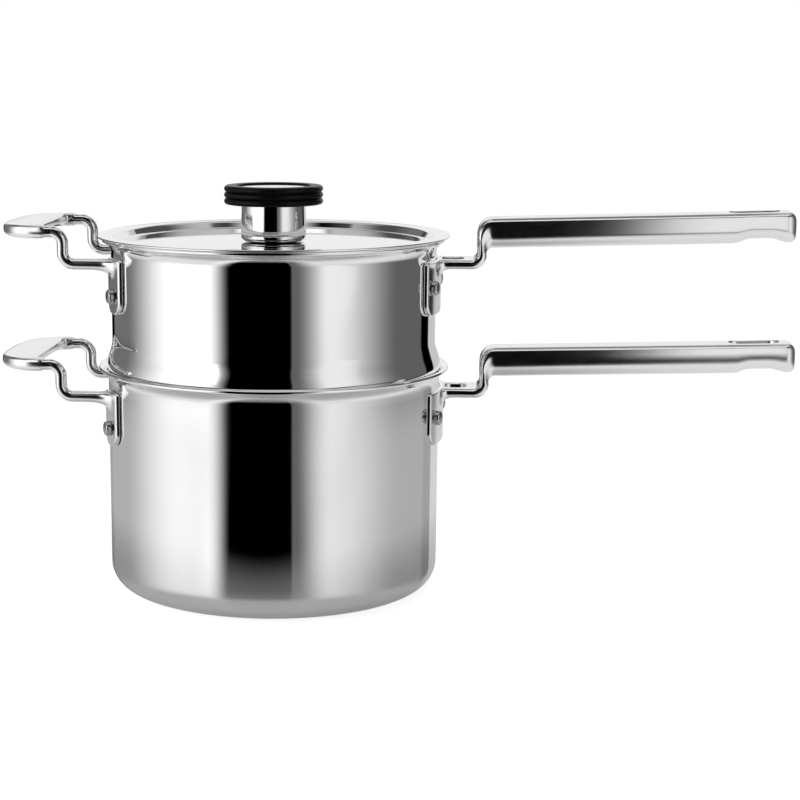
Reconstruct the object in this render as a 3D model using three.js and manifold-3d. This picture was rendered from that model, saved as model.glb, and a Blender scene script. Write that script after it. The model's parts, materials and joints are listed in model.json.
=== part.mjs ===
// Steamer pot: a saucepan, a steamer insert that stacks on it, and a lid with a knob.
// Millimetres, +Z up. The origin is the middle of the pot's underside, and the long handles point along +X.

import * as THREE from 'three';
import { mergeVertices } from 'three/addons/utils/BufferGeometryUtils.js';
import Module from 'manifold-3d';

const wasm = await Module();
wasm.setup();

// Fits
const SEAT_GAP = 0.3;            // left between pieces that rest on each other
const HOLE_PLAY = 0.3;           // radial play of a shank in its hole
const LEAST_FLAT = 0.6;          // straight stretch that is kept between two round corners

// Pot
const POT_HEIGHT = 125.8;        // base to rim
const POT_RADIUS = 92.4;         // outside of the wall, just under the rim
const POT_WALL = 2.4;
const POT_CORNER = 14.5;         // outside radius of the base corner
const WALL_DRAFT = 0.004;        // the walls narrow by this much for each millimetre of depth

// Flared pouring rim, the same on both vessels
const FLARE_RADIUS = 7;          // outside radius of the flare
const FLARE_TURN = 1.19;         // radians that the sheet turns outward

// Steamer insert
const STEAMER_RISE = 71;         // from the pot's rim to the steamer's rim
const STEAMER_STEP = 0.2;        // steamer's outside radius over the pot's inside radius
const STEAMER_WALL = 2;
const SKIRT_DEPTH = 22;          // how far the insert reaches below the pot's rim
const SKIRT_PLAY = 1.3;          // radial play of the skirt in the pot
const SKIRT_CORNER = 6;
const BEAD_RADIUS = 3;           // bead that seats in the pot's rim
const BEAD_REACH = 2.9;          // how far the bead stands out past the steamer's wall
const WAIST_HEIGHT = 14;         // the wall sweeps out to the bead over this height
const STEAM_HOLE_RADIUS = 3.5;
const STEAM_HOLE_PITCH = 21;
const STEAM_HOLE_RINGS = 3;
const STEAM_HOLE_STEP = 6;       // holes that each ring has more than the one inside it

// Lid
const LID_SHEET = 1.2;
const LID_OVERHANG = 2.4;        // past the steamer's rim
const LID_RIM_WIDTH = 9.5;       // flat rim
const LID_RECESS = 4.2;          // depth of the recess
const LID_RECESS_SLOPE = 3.4;    // the recess wall leans in by this much
const LID_BEND = 1.6;            // inside radius of the recess bends

// Knob
const STEM_RADIUS = 17.8;
const STEM_HEIGHT = 20.2;        // lid to grip ring
const STEM_CORNER = 2.6;
const CUP_WALL = 1.6;
const CUP_FLOOR = 3;
const FLANGE_RADIUS = 22.5;      // flange that holds the grip ring
const FLANGE_HEIGHT = 4;         // flange's underside over the ring's underside
const FLANGE_THICKNESS = 1.6;
const GRIP_RADIUS = 27.4;        // over the ribs
const GRIP_RIBS = 3;
const GRIP_RIB_PITCH = 3.5;
const GRIP_RIB_RADIUS = 1.85;    // the ribs are round beads that overlap
const CAP_SINK = 0.6;            // cap's top below the ring's top
const CAP_THICKNESS = 1.5;
const CAP_CHAMFER = 0.5;
const CAP_PLUG = 3;              // the cap's collar reaches this far into the cup
const SEAL_RADIUS = 9;
const SEAL_THICKNESS = 0.9;
const SCREW_RADIUS = 2.5;
const SCREW_LENGTH = 13;
const SCREW_HEAD_RADIUS = 4.8;
const SCREW_HEAD_HEIGHT = 2.6;
const SCREW_HEAD_CHAMFER = 1.3;
const WASHER_RADIUS = 8;
const WASHER_THICKNESS = 1;
const BOSS_RADIUS = 6;
const BOSS_HEIGHT = 9;

// Handle plates and rivets. Heights are measured down from the vessel's rim.
const PLATE_THICKNESS = 2.5;
const PLATE_CORNER = 8;          // lower corners
const PLATE_TOP_CORNER = 2;
const PLATE_STEP = 0.05;         // plate's top edge below the top of its arm
const ARM_ROOT = 0.4;            // how far an arm starts inside its plate
const ARM_FILLET = 4;            // between a plate's face and the sides of its arm
const ARM_UNDER_FILLET = 6;      // and under the arm
const RIVET_RADIUS = 2.6;
const RIVET_HEAD_RADIUS = 4;
const RIVET_HEAD_HEIGHT = 3.4;
const RIVET_HEAD_EDGE = 1.4;     // radius of the head's round edge
const RIVET_INNER_RADIUS = 5;
const RIVET_INNER_HEIGHT = 1.6;
const RIVET_INNER_CHAMFER = 1;

// Long handle
const LONG_REACH = 192.8;        // wall to the far end
const LONG_PLATE_WIDTH = 64;
const LONG_PLATE_BOTTOM = 40.6;
const LONG_RIVET_DROP = 25.1;
const LONG_RIVET_OFFSET = 24.4;  // sideways from the handle's middle
const BRIDGE_DROP = 11.1;        // top of the bridge below the rim
const BRIDGE_THICKNESS = 5;
const BRIDGE_WIDTH = 27;
const BRIDGE_SLOT_WIDTH = 14;
const BRIDGE_SLOT_START = 3.2;   // from the wall
const BRIDGE_SLOT_LENGTH = 11.8;
const BRIDGE_SLOT_CORNER = 4;
const RISER_OFFSET = 22.4;       // wall to the riser
const RISER_THICKNESS = 5.4;
const RISER_WIDTH = 25;
const RISER_INNER_BEND = 3.5;
const RISER_OUTER_BEND = 7.5;
const ROD_RISE = 11.7;           // top of the rod over the rim, where it leaves the riser
const ROD_HEIGHT = 16.8;
const ROD_SHOULDER = 8.5;        // radius of the rod's top corner
const ROD_FILLET = 3.2;          // radius under it
const ROD_SLOPE = 0.03;
const ROD_START_WIDTH = 21;
const ROD_WIDTH = 23;
const ROD_TAPER_LENGTH = 98;     // the rod widens over this length
const ROD_END_ROUND = 6;         // radius of the end's corners, seen from above
const ROD_END_TOP = 4.5;         // radius of its upper edge
const ROD_END_BOTTOM = 2.5;
const SCALLOP_START = 32;        // the hollow under the hanging slot, from the far end
const SCALLOP_END = 2.8;
const SCALLOP_DEPTH = 2.2;
const SCALLOP_IN = 8;            // length of the way into the hollow
const SCALLOP_OUT = 11;          // and out of it
const HANG_SLOT_LENGTH = 27;
const HANG_SLOT_WIDTH = 12;
const HANG_SLOT_END = 8;         // slot to the far end

// Loop handle
const LOOP_REACH = 58.8;         // wall to the paddle's outer edge
const LOOP_WIDTH = 89;
const LOOP_GAP_WIDTH = 73;       // finger gap between the legs
const PADDLE_DEPTH = 22.2;
const PADDLE_RISE = 4.9;         // middle of the paddle over the rim
const PADDLE_THICKNESS = 7.4;
const PADDLE_SPREAD = 0.25;      // the leg's section turns into the paddle's over this share of the half
const PADDLE_ROUNDNESS = 2.8;    // exponent of the outer edge
const PADDLE_GAP_ROUNDNESS = 6;  // exponent of the finger gap's edge
const LEG_DROP = 12.5;           // middle of the leg's run below the rim
const LEG_THICKNESS = 6.1;
const LEG_WIDTH = 7;
const LEG_OFFSET = 20.2;         // wall to the middle of the upright
const LEG_BEND = 6.3;            // middle radius of the bends
const FOOT_WIDTH = 18.5;
const FOOT_BOTTOM = 39.7;
const LOOP_RIVET_DROP = 29.8;
const POT_LOOP_DROP = 1.7;       // the pot's loop handle sits this much lower than the steamer's

// Handle sections are superellipses. These are their exponents.
const PLATE_SQUARENESS = 9;
const STRIP_SQUARENESS = 5;
const ROD_TOP_SQUARENESS = 4.5;
const ROD_UNDER_SQUARENESS = 2.5;
const LEG_SQUARENESS = 2.3;
const PADDLE_TOP_SQUARENESS = 4;
const PADDLE_UNDER_SQUARENESS = 2.6;

// Facets
const VESSEL_SIDES = 36;
const KNOB_SIDES = 16;
const RIVET_SIDES = 8;
const SMALL_SIDES = 10;
const HOLE_SIDES = 6;
const BEND_STEPS = 3;
const CORNER_STEPS = 4;          // steps of a large corner
const ROLL_STEPS = 2;            // steps of a small roll or bend in a sheet
const RIB_STEPS = 3;             // steps around a rib
const LONG_SECTION_STEPS = 9;    // points over half a section of the long handle
const LOOP_SECTION_STEPS = 6;
const ROD_STEPS = 2;
const SCALLOP_STEPS = 4;
const ROD_END_STEPS = 3;
const PADDLE_STEPS = 6;
const SLOT_STEPS = 3;

const STEEL = { color: 0xc8cacc, metalness: 1, roughness: 0.12 };
const DULL_STEEL = { color: 0xb4b6b8, metalness: 1, roughness: 0.3 };
const SILICONE = { color: 0x131314, metalness: 0, roughness: 0.6 };

const QUARTER = Math.PI / 2;

// Points of an arc in a plane, from one angle to another
function arc(centreX, centreY, radius, from, to, steps = BEND_STEPS) {
  const points = [];
  for (let i = 0; i <= steps; i += 1) {
    const angle = from + ((to - from) * i) / steps;
    points.push([centreX + radius * Math.cos(angle), centreY + radius * Math.sin(angle)]);
  }
  return points;
}

function mix(from, to, share) {
  return from + (to - from) * share;
}

// Goes from 0 to 1 with level ends
function smooth(share) {
  const held = Math.min(1, Math.max(0, share));
  return held * held * (3 - 2 * held);
}

// How far a round corner has fallen back, at a distance from its end
function cornerDrop(distance, radius) {
  const inset = Math.min(radius, Math.max(0, radius - distance));
  return radius - Math.sqrt(radius * radius - inset * inset);
}

// Keeps positions only, joins equal vertices and drops triangles with no area
function closedGeometry(geometry) {
  const bare = geometry.clone();
  bare.deleteAttribute('normal');
  bare.deleteAttribute('uv');
  const merged = mergeVertices(bare);
  const source = merged.index.array;
  const kept = [];
  for (let i = 0; i < source.length; i += 3) {
    const [a, b, c] = [source[i], source[i + 1], source[i + 2]];
    if (a !== b && b !== c && c !== a) {
      kept.push(a, b, c);
    }
  }
  merged.setIndex(kept);
  return merged;
}

// Turns a profile of [radius, height] points about the Z axis. The profile runs counter-clockwise.
function revolve(profile, sides) {
  const points = profile.map(([radius, height]) => new THREE.Vector2(radius, height));
  const geometry = new THREE.LatheGeometry(points, sides);
  geometry.rotateX(QUARTER);
  return closedGeometry(geometry);
}

function closeLoop(profile) {
  return [...profile, profile[0]];
}

// Skins a row of rings that have the same number of points, and closes both ends
function loft(rings) {
  const count = rings[0].length;
  const positions = rings.flat().flatMap((point) => point.toArray());
  const index = [];
  for (let ring = 0; ring < rings.length - 1; ring += 1) {
    for (let i = 0; i < count; i += 1) {
      const next = (i + 1) % count;
      const a = ring * count + i;
      const b = ring * count + next;
      index.push(a, b, a + count, b, b + count, a + count);
    }
  }
  const last = (rings.length - 1) * count;
  for (let i = 1; i < count - 1; i += 1) {
    index.push(0, i + 1, i);
    index.push(last, last + i, last + i + 1);
  }
  const geometry = new THREE.BufferGeometry();
  geometry.setAttribute('position', new THREE.Float32BufferAttribute(positions, 3));
  geometry.setIndex(index);
  return geometry;
}

function solid(geometry) {
  const closed = closedGeometry(geometry);
  return new wasm.Manifold(new wasm.Mesh({
    numProp: 3,
    vertProperties: new Float32Array(closed.attributes.position.array),
    triVerts: new Uint32Array(closed.index.array),
  }));
}

function join(geometries) {
  return geometries.map(solid).reduce((body, added) => body.add(added));
}

function cut(body, tools) {
  const result = tools.reduce((left, tool) => left.subtract(solid(tool)), body);
  const mesh = result.getMesh();
  const cutGeometry = new THREE.BufferGeometry();
  cutGeometry.setAttribute('position', new THREE.Float32BufferAttribute(mesh.vertProperties, 3));
  cutGeometry.setIndex([...mesh.triVerts]);
  return cutGeometry;
}

function piece(name, geometry, look) {
  const shaded = geometry.clone();
  shaded.computeVertexNormals();
  const mesh = new THREE.Mesh(shaded, new THREE.MeshStandardMaterial(look));
  mesh.name = name;
  return mesh;
}

// The two vessels, as the fittings need them
const potVessel = { radius: POT_RADIUS, wall: POT_WALL, rim: POT_HEIGHT, loopDrop: POT_LOOP_DROP };
const steamerVessel = {
  radius: POT_RADIUS - POT_WALL + STEAMER_STEP,
  wall: STEAMER_WALL,
  rim: POT_HEIGHT + STEAMER_RISE,
  loopDrop: 0,
};

// Rim flare: the sheet turns outward about a centre that lies outside the wall, and ends in a round edge
function flare(vessel) {
  const height = (FLARE_RADIUS + vessel.wall) * Math.sin(FLARE_TURN);
  return {
    centreRadius: vessel.radius + FLARE_RADIUS,
    centreHeight: vessel.rim - height,
    innerRadius: FLARE_RADIUS + vessel.wall,
  };
}

function rimProfile(vessel) {
  const { centreRadius, centreHeight, innerRadius } = flare(vessel);
  const end = Math.PI - FLARE_TURN;
  const middle = FLARE_RADIUS + vessel.wall / 2;
  const edgeRadius = centreRadius + middle * Math.cos(end);
  const edgeHeight = centreHeight + middle * Math.sin(end);
  return [
    ...arc(centreRadius, centreHeight, FLARE_RADIUS, Math.PI, end),
    ...arc(edgeRadius, edgeHeight, vessel.wall / 2, end - Math.PI, end).slice(1, -1),
    ...arc(centreRadius, centreHeight, innerRadius, end, Math.PI),
  ];
}

function rimLipRadius(vessel) {
  return Math.max(...rimProfile(vessel).map(([radius]) => radius));
}

// Outside radius of a vessel's wall at a depth below the start of its flare
function wallRadius(vessel, height) {
  return vessel.radius - WALL_DRAFT * Math.max(0, flare(vessel).centreHeight - height);
}

function potProfile() {
  const corner = wallRadius(potVessel, POT_CORNER) - POT_CORNER;
  return [
    [0, 0],
    ...arc(corner, POT_CORNER, POT_CORNER, -QUARTER, 0, CORNER_STEPS),
    ...rimProfile(potVessel),
    ...arc(corner, POT_CORNER, POT_CORNER - POT_WALL, 0, -QUARTER),
    [0, POT_WALL],
  ];
}

const skirtBottom = POT_HEIGHT - SKIRT_DEPTH;
const skirtRadius = wallRadius(potVessel, skirtBottom) - POT_WALL - SKIRT_PLAY;

// The bead rests in the pot's flare, a seat's gap away from it
function beadCentre() {
  const seat = flare(potVessel);
  const radius = steamerVessel.radius + BEAD_REACH - BEAD_RADIUS;
  const apart = seat.innerRadius + SEAT_GAP + BEAD_RADIUS;
  const across = seat.centreRadius - radius;
  return { radius, height: seat.centreHeight + Math.sqrt(apart * apart - across * across) };
}

// The steamer's wall sweeps from the bead up to the straight wall
function waist(inset) {
  const bead = beadCentre();
  const low = bead.radius + BEAD_RADIUS;
  const high = wallRadius(steamerVessel, bead.height + WAIST_HEIGHT);
  const points = [];
  for (let i = 0; i <= BEND_STEPS; i += 1) {
    const share = i / BEND_STEPS;
    points.push([mix(low, high, smooth(share)) - inset, bead.height + WAIST_HEIGHT * share]);
  }
  return points;
}

function steamerProfile() {
  const bead = beadCentre();
  const tuck = -Math.acos((skirtRadius - bead.radius) / BEAD_RADIUS);
  const innerSkirt = skirtRadius - STEAMER_WALL;
  const corner = skirtRadius - SKIRT_CORNER;
  const cornerHeight = skirtBottom + SKIRT_CORNER;
  const innerBead = bead.height - BEAD_RADIUS + STEAMER_WALL;
  return [
    [0, skirtBottom],
    ...arc(corner, cornerHeight, SKIRT_CORNER, -QUARTER, 0, ROLL_STEPS),
    ...arc(bead.radius, bead.height, BEAD_RADIUS, tuck, 0),
    ...waist(0).slice(1),
    ...rimProfile(steamerVessel),
    ...waist(STEAMER_WALL).reverse(),
    [bead.radius, innerBead],
    [innerSkirt, innerBead - STEAMER_WALL],
    ...arc(corner, cornerHeight, SKIRT_CORNER - STEAMER_WALL, 0, -QUARTER, ROLL_STEPS),
    [0, skirtBottom + STEAMER_WALL],
  ];
}

// A round tool along Z
function drill(radius, x, y, bottom, top, sides) {
  const geometry = new THREE.CylinderGeometry(radius, radius, top - bottom, sides);
  geometry.rotateX(QUARTER);
  geometry.translate(x, y, (bottom + top) / 2);
  return geometry;
}

// Steam holes: one in the middle, and rings around it
function steamHoles() {
  const bottom = skirtBottom - STEAMER_WALL;
  const top = skirtBottom + 2 * STEAMER_WALL;
  const tools = [];
  for (let ring = 0; ring <= STEAM_HOLE_RINGS; ring += 1) {
    const count = Math.max(1, ring * STEAM_HOLE_STEP);
    for (let i = 0; i < count; i += 1) {
      const angle = (2 * Math.PI * i) / count;
      const x = ring * STEAM_HOLE_PITCH * Math.cos(angle);
      const y = ring * STEAM_HOLE_PITCH * Math.sin(angle);
      tools.push(drill(STEAM_HOLE_RADIUS, x, y, bottom, top, HOLE_SIDES));
    }
  }
  return tools;
}

// Points of a section, from one edge over the top to the other edge and back along the underside.
// Their places across the width come from even steps of half a turn.
function sectionPoints(topExponent, underExponent, steps) {
  const half = (exponent, side) => {
    const points = [];
    for (let i = 0; i < steps; i += 1) {
      const across = Math.cos((Math.PI * i) / steps);
      const rise = (1 - Math.abs(across) ** exponent) ** (1 / exponent);
      points.push([side * across, side * rise]);
    }
    return points;
  };
  return [...half(topExponent, 1), ...half(underExponent, -1)];
}

// A point of a fitting: distance out from the wall, sideways, and height over the rim.
// Wrap is 1 where the piece follows the round wall, and 0 where it is square to the handle.
function fittingPoint(vessel, out, sideways, height, wrap) {
  const reach = wallRadius(vessel, vessel.rim + height) + out;
  const curved = Math.sqrt(reach * reach - sideways * sideways);
  return new THREE.Vector3(mix(reach, curved, wrap), sideways, height);
}

// Pairs the points of the upper and the lower line of a side view.
// Width, wrap and roundness run evenly from the first pair to the last.
function pairUp(upper, lower, widths, wraps, rounds) {
  const last = upper.length - 1;
  return upper.map((point, i) => ({
    upper: point,
    lower: lower[i],
    width: mix(...widths, i / last),
    wrap: mix(...wraps, i / last),
    round: mix(...rounds, i / last),
  }));
}

// A plate lies on the wall. Its corners are round, the lower ones more than the upper ones.
function plate(vessel, bottom, top, width, offset, steps) {
  const height = bottom - top;
  const corner = Math.min(PLATE_CORNER, width / 2 - LEAST_FLAT);
  const low = arc(0, corner, corner, -QUARTER, 0).map(([, level]) => level);
  const high = [height - PLATE_TOP_CORNER, height];
  const pairs = [...low, ...high].map((level) => ({
    upper: [SEAT_GAP, level - bottom],
    lower: [SEAT_GAP + PLATE_THICKNESS, level - bottom],
    width: width - 2 * (cornerDrop(level, corner) + cornerDrop(height - level, PLATE_TOP_CORNER)),
    wrap: 1,
    round: 0,
  }));
  const squareness = [PLATE_SQUARENESS, PLATE_SQUARENESS];
  return loft(sectionRings(vessel, pairs, offset, squareness, squareness, steps));
}

// The start of an arm, with fillets against the plate's face. The wall's curve fades out of it on the way
// to wrapEnd. It begins inside the plate, narrow there so that its flat end stays clear of the round wall.
function armRoot(top, bottom, width, round, wrapEnd) {
  const face = SEAT_GAP + PLATE_THICKNESS;
  const fillets = arc(ARM_UNDER_FILLET, 0, ARM_UNDER_FILLET, Math.PI, QUARTER).map(([distance]) => ({
    upper: [face + distance, top],
    lower: [face + distance, bottom - cornerDrop(distance, ARM_UNDER_FILLET)],
    width: width + 2 * cornerDrop(distance, ARM_FILLET),
    wrap: 1 - smooth(distance / (wrapEnd - face)),
    round,
  }));
  const inside = face - ARM_ROOT;
  return [{ upper: [inside, top], lower: [inside, bottom], width: width / 2, wrap: 1, round }, ...fillets];
}

function longHandlePairs() {
  const bridgeBottom = -BRIDGE_DROP - BRIDGE_THICKNESS;
  const riserBack = RISER_OFFSET + RISER_THICKNESS;
  const shoulder = [RISER_OFFSET + ROD_SHOULDER, ROD_RISE - ROD_SHOULDER];
  const under = [riserBack + ROD_FILLET, ROD_RISE - ROD_HEIGHT - ROD_FILLET];
  const innerBend = [RISER_OFFSET - RISER_INNER_BEND, RISER_INNER_BEND - BRIDGE_DROP];
  const outerBend = [riserBack - RISER_OUTER_BEND, bridgeBottom + RISER_OUTER_BEND];
  const root = armRoot(-BRIDGE_DROP, bridgeBottom, BRIDGE_WIDTH, 0, innerBend[0]);
  const bend = pairUp(
    arc(...innerBend, RISER_INNER_BEND, -QUARTER, 0),
    arc(...outerBend, RISER_OUTER_BEND, -QUARTER, 0),
    [BRIDGE_WIDTH, RISER_WIDTH],
    [0, 0],
    [0, 0],
  );
  const turn = pairUp(
    arc(...shoulder, ROD_SHOULDER, Math.PI, QUARTER, CORNER_STEPS),
    arc(...under, ROD_FILLET, Math.PI, QUARTER, CORNER_STEPS),
    [RISER_WIDTH, ROD_START_WIDTH],
    [0, 0],
    [0, 1],
  );
  return [...root, ...bend, ...turn];
}

const rodStart = RISER_OFFSET + RISER_THICKNESS + ROD_FILLET;

// The rod rises gently, is hollowed under the hanging slot and has a rounded end
function rodPair(out) {
  const into = smooth((out - LONG_REACH + SCALLOP_START) / SCALLOP_IN);
  const leave = smooth((LONG_REACH - SCALLOP_END - out) / SCALLOP_OUT);
  const left = LONG_REACH - out;
  const top = ROD_RISE + ROD_SLOPE * (out - rodStart);
  const bottom = top - ROD_HEIGHT + SCALLOP_DEPTH * into * leave;
  const width = mix(ROD_START_WIDTH, ROD_WIDTH, smooth((out - rodStart) / ROD_TAPER_LENGTH));
  return {
    upper: [out, top - cornerDrop(left, ROD_END_TOP)],
    lower: [out, bottom + cornerDrop(left, ROD_END_BOTTOM)],
    width: width - 2 * cornerDrop(left, ROD_END_ROUND),
    wrap: 0,
    round: 1,
  };
}

function rodPairs() {
  const scallopStart = LONG_REACH - SCALLOP_START;
  const endStart = LONG_REACH - ROD_END_ROUND;
  const outs = [];
  for (let i = 1; i <= ROD_STEPS; i += 1) {
    outs.push(mix(rodStart, scallopStart, i / ROD_STEPS));
  }
  for (let i = 1; i <= SCALLOP_STEPS; i += 1) {
    outs.push(mix(scallopStart, endStart, i / SCALLOP_STEPS));
  }
  for (const [along] of arc(0, 0, ROD_END_ROUND, QUARTER, 0, ROD_END_STEPS).slice(1)) {
    outs.push(endStart + along);
  }
  return outs.map(rodPair);
}

// Makes the section rings of a handle from its pairs. The handle's middle lies at a sideways offset.
// The flat section changes to the round one as a pair's roundness goes from 0 to 1.
function sectionRings(vessel, pairs, offset, flat, round, steps) {
  return pairs.map((pair) => {
    const exponents = flat.map((exponent, i) => mix(exponent, round[i], pair.round));
    return sectionPoints(...exponents, steps).map(([across, along]) => {
      const share = (1 + along) / 2;
      const out = mix(pair.lower[0], pair.upper[0], share);
      const height = mix(pair.lower[1], pair.upper[1], share);
      return fittingPoint(vessel, out, offset + (across * pair.width) / 2, height, pair.wrap);
    });
  });
}

// A tool with a rounded rectangular outline, along Z
function slotTool(startX, lengthX, widthY, radius, bottom, top) {
  const corner = Math.min(radius, (Math.min(lengthX, widthY) - LEAST_FLAT) / 2);
  const shape = new THREE.Shape();
  const endX = startX + lengthX;
  const side = widthY / 2;
  shape.moveTo(startX, corner - side);
  shape.absarc(startX + corner, corner - side, corner, Math.PI, 3 * QUARTER);
  shape.absarc(endX - corner, corner - side, corner, 3 * QUARTER, 2 * Math.PI);
  shape.absarc(endX - corner, side - corner, corner, 0, QUARTER);
  shape.absarc(startX + corner, side - corner, corner, QUARTER, Math.PI);
  const geometry = new THREE.ExtrudeGeometry(shape, {
    depth: top - bottom,
    bevelEnabled: false,
    curveSegments: SLOT_STEPS,
  });
  geometry.translate(0, 0, bottom);
  return geometry;
}

// Direction of a rivet that sits at a sideways offset on a vessel's wall, as an angle about Z
function rivetAngle(vessel, offset, drop) {
  return Math.asin(offset / wallRadius(vessel, vessel.rim - drop));
}

// A tool for a rivet's hole. It runs well past the plate and the wall.
function rivetHole(vessel, offset, drop, height) {
  const radius = RIVET_RADIUS + HOLE_PLAY;
  const length = 4 * (vessel.wall + PLATE_THICKNESS);
  const geometry = new THREE.CylinderGeometry(radius, radius, length, RIVET_SIDES);
  geometry.rotateZ(QUARTER);
  geometry.translate(wallRadius(vessel, vessel.rim - drop), 0, height - drop);
  geometry.rotateZ(rivetAngle(vessel, offset, drop));
  return geometry;
}

function longHandle(vessel) {
  const rings = sectionRings(
    vessel,
    [...longHandlePairs(), ...rodPairs()],
    0,
    [STRIP_SQUARENESS, STRIP_SQUARENESS],
    [ROD_TOP_SQUARENESS, ROD_UNDER_SQUARENESS],
    LONG_SECTION_STEPS,
  );
  const bridgeSlot = slotTool(
    vessel.radius + BRIDGE_SLOT_START,
    BRIDGE_SLOT_LENGTH,
    BRIDGE_SLOT_WIDTH,
    BRIDGE_SLOT_CORNER,
    -BRIDGE_DROP - 2 * BRIDGE_THICKNESS,
    BRIDGE_THICKNESS - BRIDGE_DROP,
  );
  const hangSlot = slotTool(
    vessel.radius + LONG_REACH - HANG_SLOT_END - HANG_SLOT_LENGTH,
    HANG_SLOT_LENGTH,
    HANG_SLOT_WIDTH,
    HANG_SLOT_WIDTH / 2,
    ROD_RISE - 2 * ROD_HEIGHT,
    ROD_RISE + ROD_HEIGHT,
  );
  const plateTop = BRIDGE_DROP + PLATE_STEP;
  const base = plate(vessel, LONG_PLATE_BOTTOM, plateTop, LONG_PLATE_WIDTH, 0, LONG_SECTION_STEPS);
  return cut(join([loft(rings), base]), [
    bridgeSlot,
    hangSlot,
    rivetHole(vessel, LONG_RIVET_OFFSET, LONG_RIVET_DROP, 0),
    rivetHole(vessel, -LONG_RIVET_OFFSET, LONG_RIVET_DROP, 0),
  ]);
}

const legMiddle = (LOOP_WIDTH + LOOP_GAP_WIDTH) / 4;

// One leg of the loop handle, from the wall up to the paddle's level
function legPairs() {
  const half = LEG_THICKNESS / 2;
  const lowBend = [LEG_OFFSET - LEG_BEND, LEG_BEND - LEG_DROP];
  const highBend = [LEG_OFFSET + LEG_BEND, PADDLE_RISE - LEG_BEND];
  const root = armRoot(half - LEG_DROP, -half - LEG_DROP, LEG_WIDTH, 1, lowBend[0]);
  const lower = pairUp(
    arc(...lowBend, LEG_BEND - half, -QUARTER, 0),
    arc(...lowBend, LEG_BEND + half, -QUARTER, 0),
    [LEG_WIDTH, LEG_WIDTH],
    [0, 0],
    [1, 1],
  );
  const upper = pairUp(
    arc(...highBend, LEG_BEND + half, Math.PI, QUARTER),
    arc(...highBend, LEG_BEND - half, Math.PI, QUARTER),
    [LEG_WIDTH, LEG_WIDTH],
    [0, 0],
    [1, 1],
  );
  return [...root, ...lower, ...upper];
}

// Half of the paddle, from the leg to the middle. Its section runs from the finger gap to the outer edge.
function paddleRings(vessel) {
  const start = vessel.radius + LEG_OFFSET + LEG_BEND + LEG_BEND / 2;
  const outerDepth = vessel.radius + LOOP_REACH - start;
  const innerDepth = outerDepth - PADDLE_DEPTH;
  const edge = (depth, width, exponent, angle) => [
    start + depth * Math.sin(angle) ** (2 / exponent),
    (width / 2) * Math.cos(angle) ** (2 / exponent),
  ];
  const rings = [];
  for (let i = 0; i <= PADDLE_STEPS; i += 1) {
    const angle = QUARTER * (i / PADDLE_STEPS) ** 2;
    const outer = edge(outerDepth, LOOP_WIDTH, PADDLE_ROUNDNESS, angle);
    const inner = edge(innerDepth, LOOP_GAP_WIDTH, PADDLE_GAP_ROUNDNESS, angle);
    const grown = smooth(i / PADDLE_STEPS / PADDLE_SPREAD);
    const thickness = mix(LEG_THICKNESS, PADDLE_THICKNESS, grown);
    const topSquareness = mix(LEG_SQUARENESS, PADDLE_TOP_SQUARENESS, grown);
    const underSquareness = mix(LEG_SQUARENESS, PADDLE_UNDER_SQUARENESS, grown);
    const section = sectionPoints(topSquareness, underSquareness, LOOP_SECTION_STEPS);
    rings.push(section.map(([across, along]) => new THREE.Vector3(
      mix(inner[0], outer[0], (1 + across) / 2),
      mix(inner[1], outer[1], (1 + across) / 2),
      PADDLE_RISE + (along * thickness) / 2,
    )));
  }
  return rings;
}

function mirrored(point) {
  return new THREE.Vector3(point.x, -point.y, point.z);
}

// The loop handle is made along +X, and its group turns it to the far side
function loopHandle(vessel) {
  const squareness = [LEG_SQUARENESS, LEG_SQUARENESS];
  const leg = sectionRings(vessel, legPairs(), legMiddle, squareness, squareness, LOOP_SECTION_STEPS);
  const half = [...leg, ...paddleRings(vessel)];
  const otherHalf = half.map((ring) => ring.map(mirrored)).reverse();
  const footTop = LEG_DROP - LEG_THICKNESS / 2 + PLATE_STEP;
  const feet = [-legMiddle, legMiddle].map(
    (offset) => plate(vessel, FOOT_BOTTOM, footTop, FOOT_WIDTH, offset, LOOP_SECTION_STEPS),
  );
  return cut(join([loft([...half, ...otherHalf.slice(1)]), ...feet]), [
    rivetHole(vessel, legMiddle, LOOP_RIVET_DROP, 0),
    rivetHole(vessel, -legMiddle, LOOP_RIVET_DROP, 0),
  ]);
}

// A rivet along +X: a flat head inside the vessel, a shank and a domed head on the plate
function rivet(vessel, drop) {
  const wall = wallRadius(vessel, vessel.rim - drop);
  const facetInside = (wall - vessel.wall) * Math.cos(Math.PI / VESSEL_SIDES);
  const innerBase = Math.sqrt(facetInside ** 2 - RIVET_INNER_RADIUS ** 2) - SEAT_GAP;
  const innerTop = innerBase - RIVET_INNER_HEIGHT;
  const outerBase = wall + PLATE_THICKNESS + 2 * SEAT_GAP;
  const outerTop = outerBase + RIVET_HEAD_HEIGHT;
  const edge = [RIVET_HEAD_RADIUS - RIVET_HEAD_EDGE, outerTop - RIVET_HEAD_EDGE];
  const profile = [
    [0, innerTop],
    [RIVET_INNER_RADIUS - RIVET_INNER_CHAMFER, innerTop],
    [RIVET_INNER_RADIUS, innerTop + RIVET_INNER_CHAMFER],
    [RIVET_INNER_RADIUS, innerBase],
    [RIVET_RADIUS, innerBase],
    [RIVET_RADIUS, outerBase],
    [RIVET_HEAD_RADIUS, outerBase],
    ...arc(...edge, RIVET_HEAD_EDGE, 0, QUARTER, ROLL_STEPS),
    [0, outerTop],
  ];
  const geometry = revolve(profile, RIVET_SIDES);
  geometry.rotateY(QUARTER);
  return geometry;
}

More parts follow.
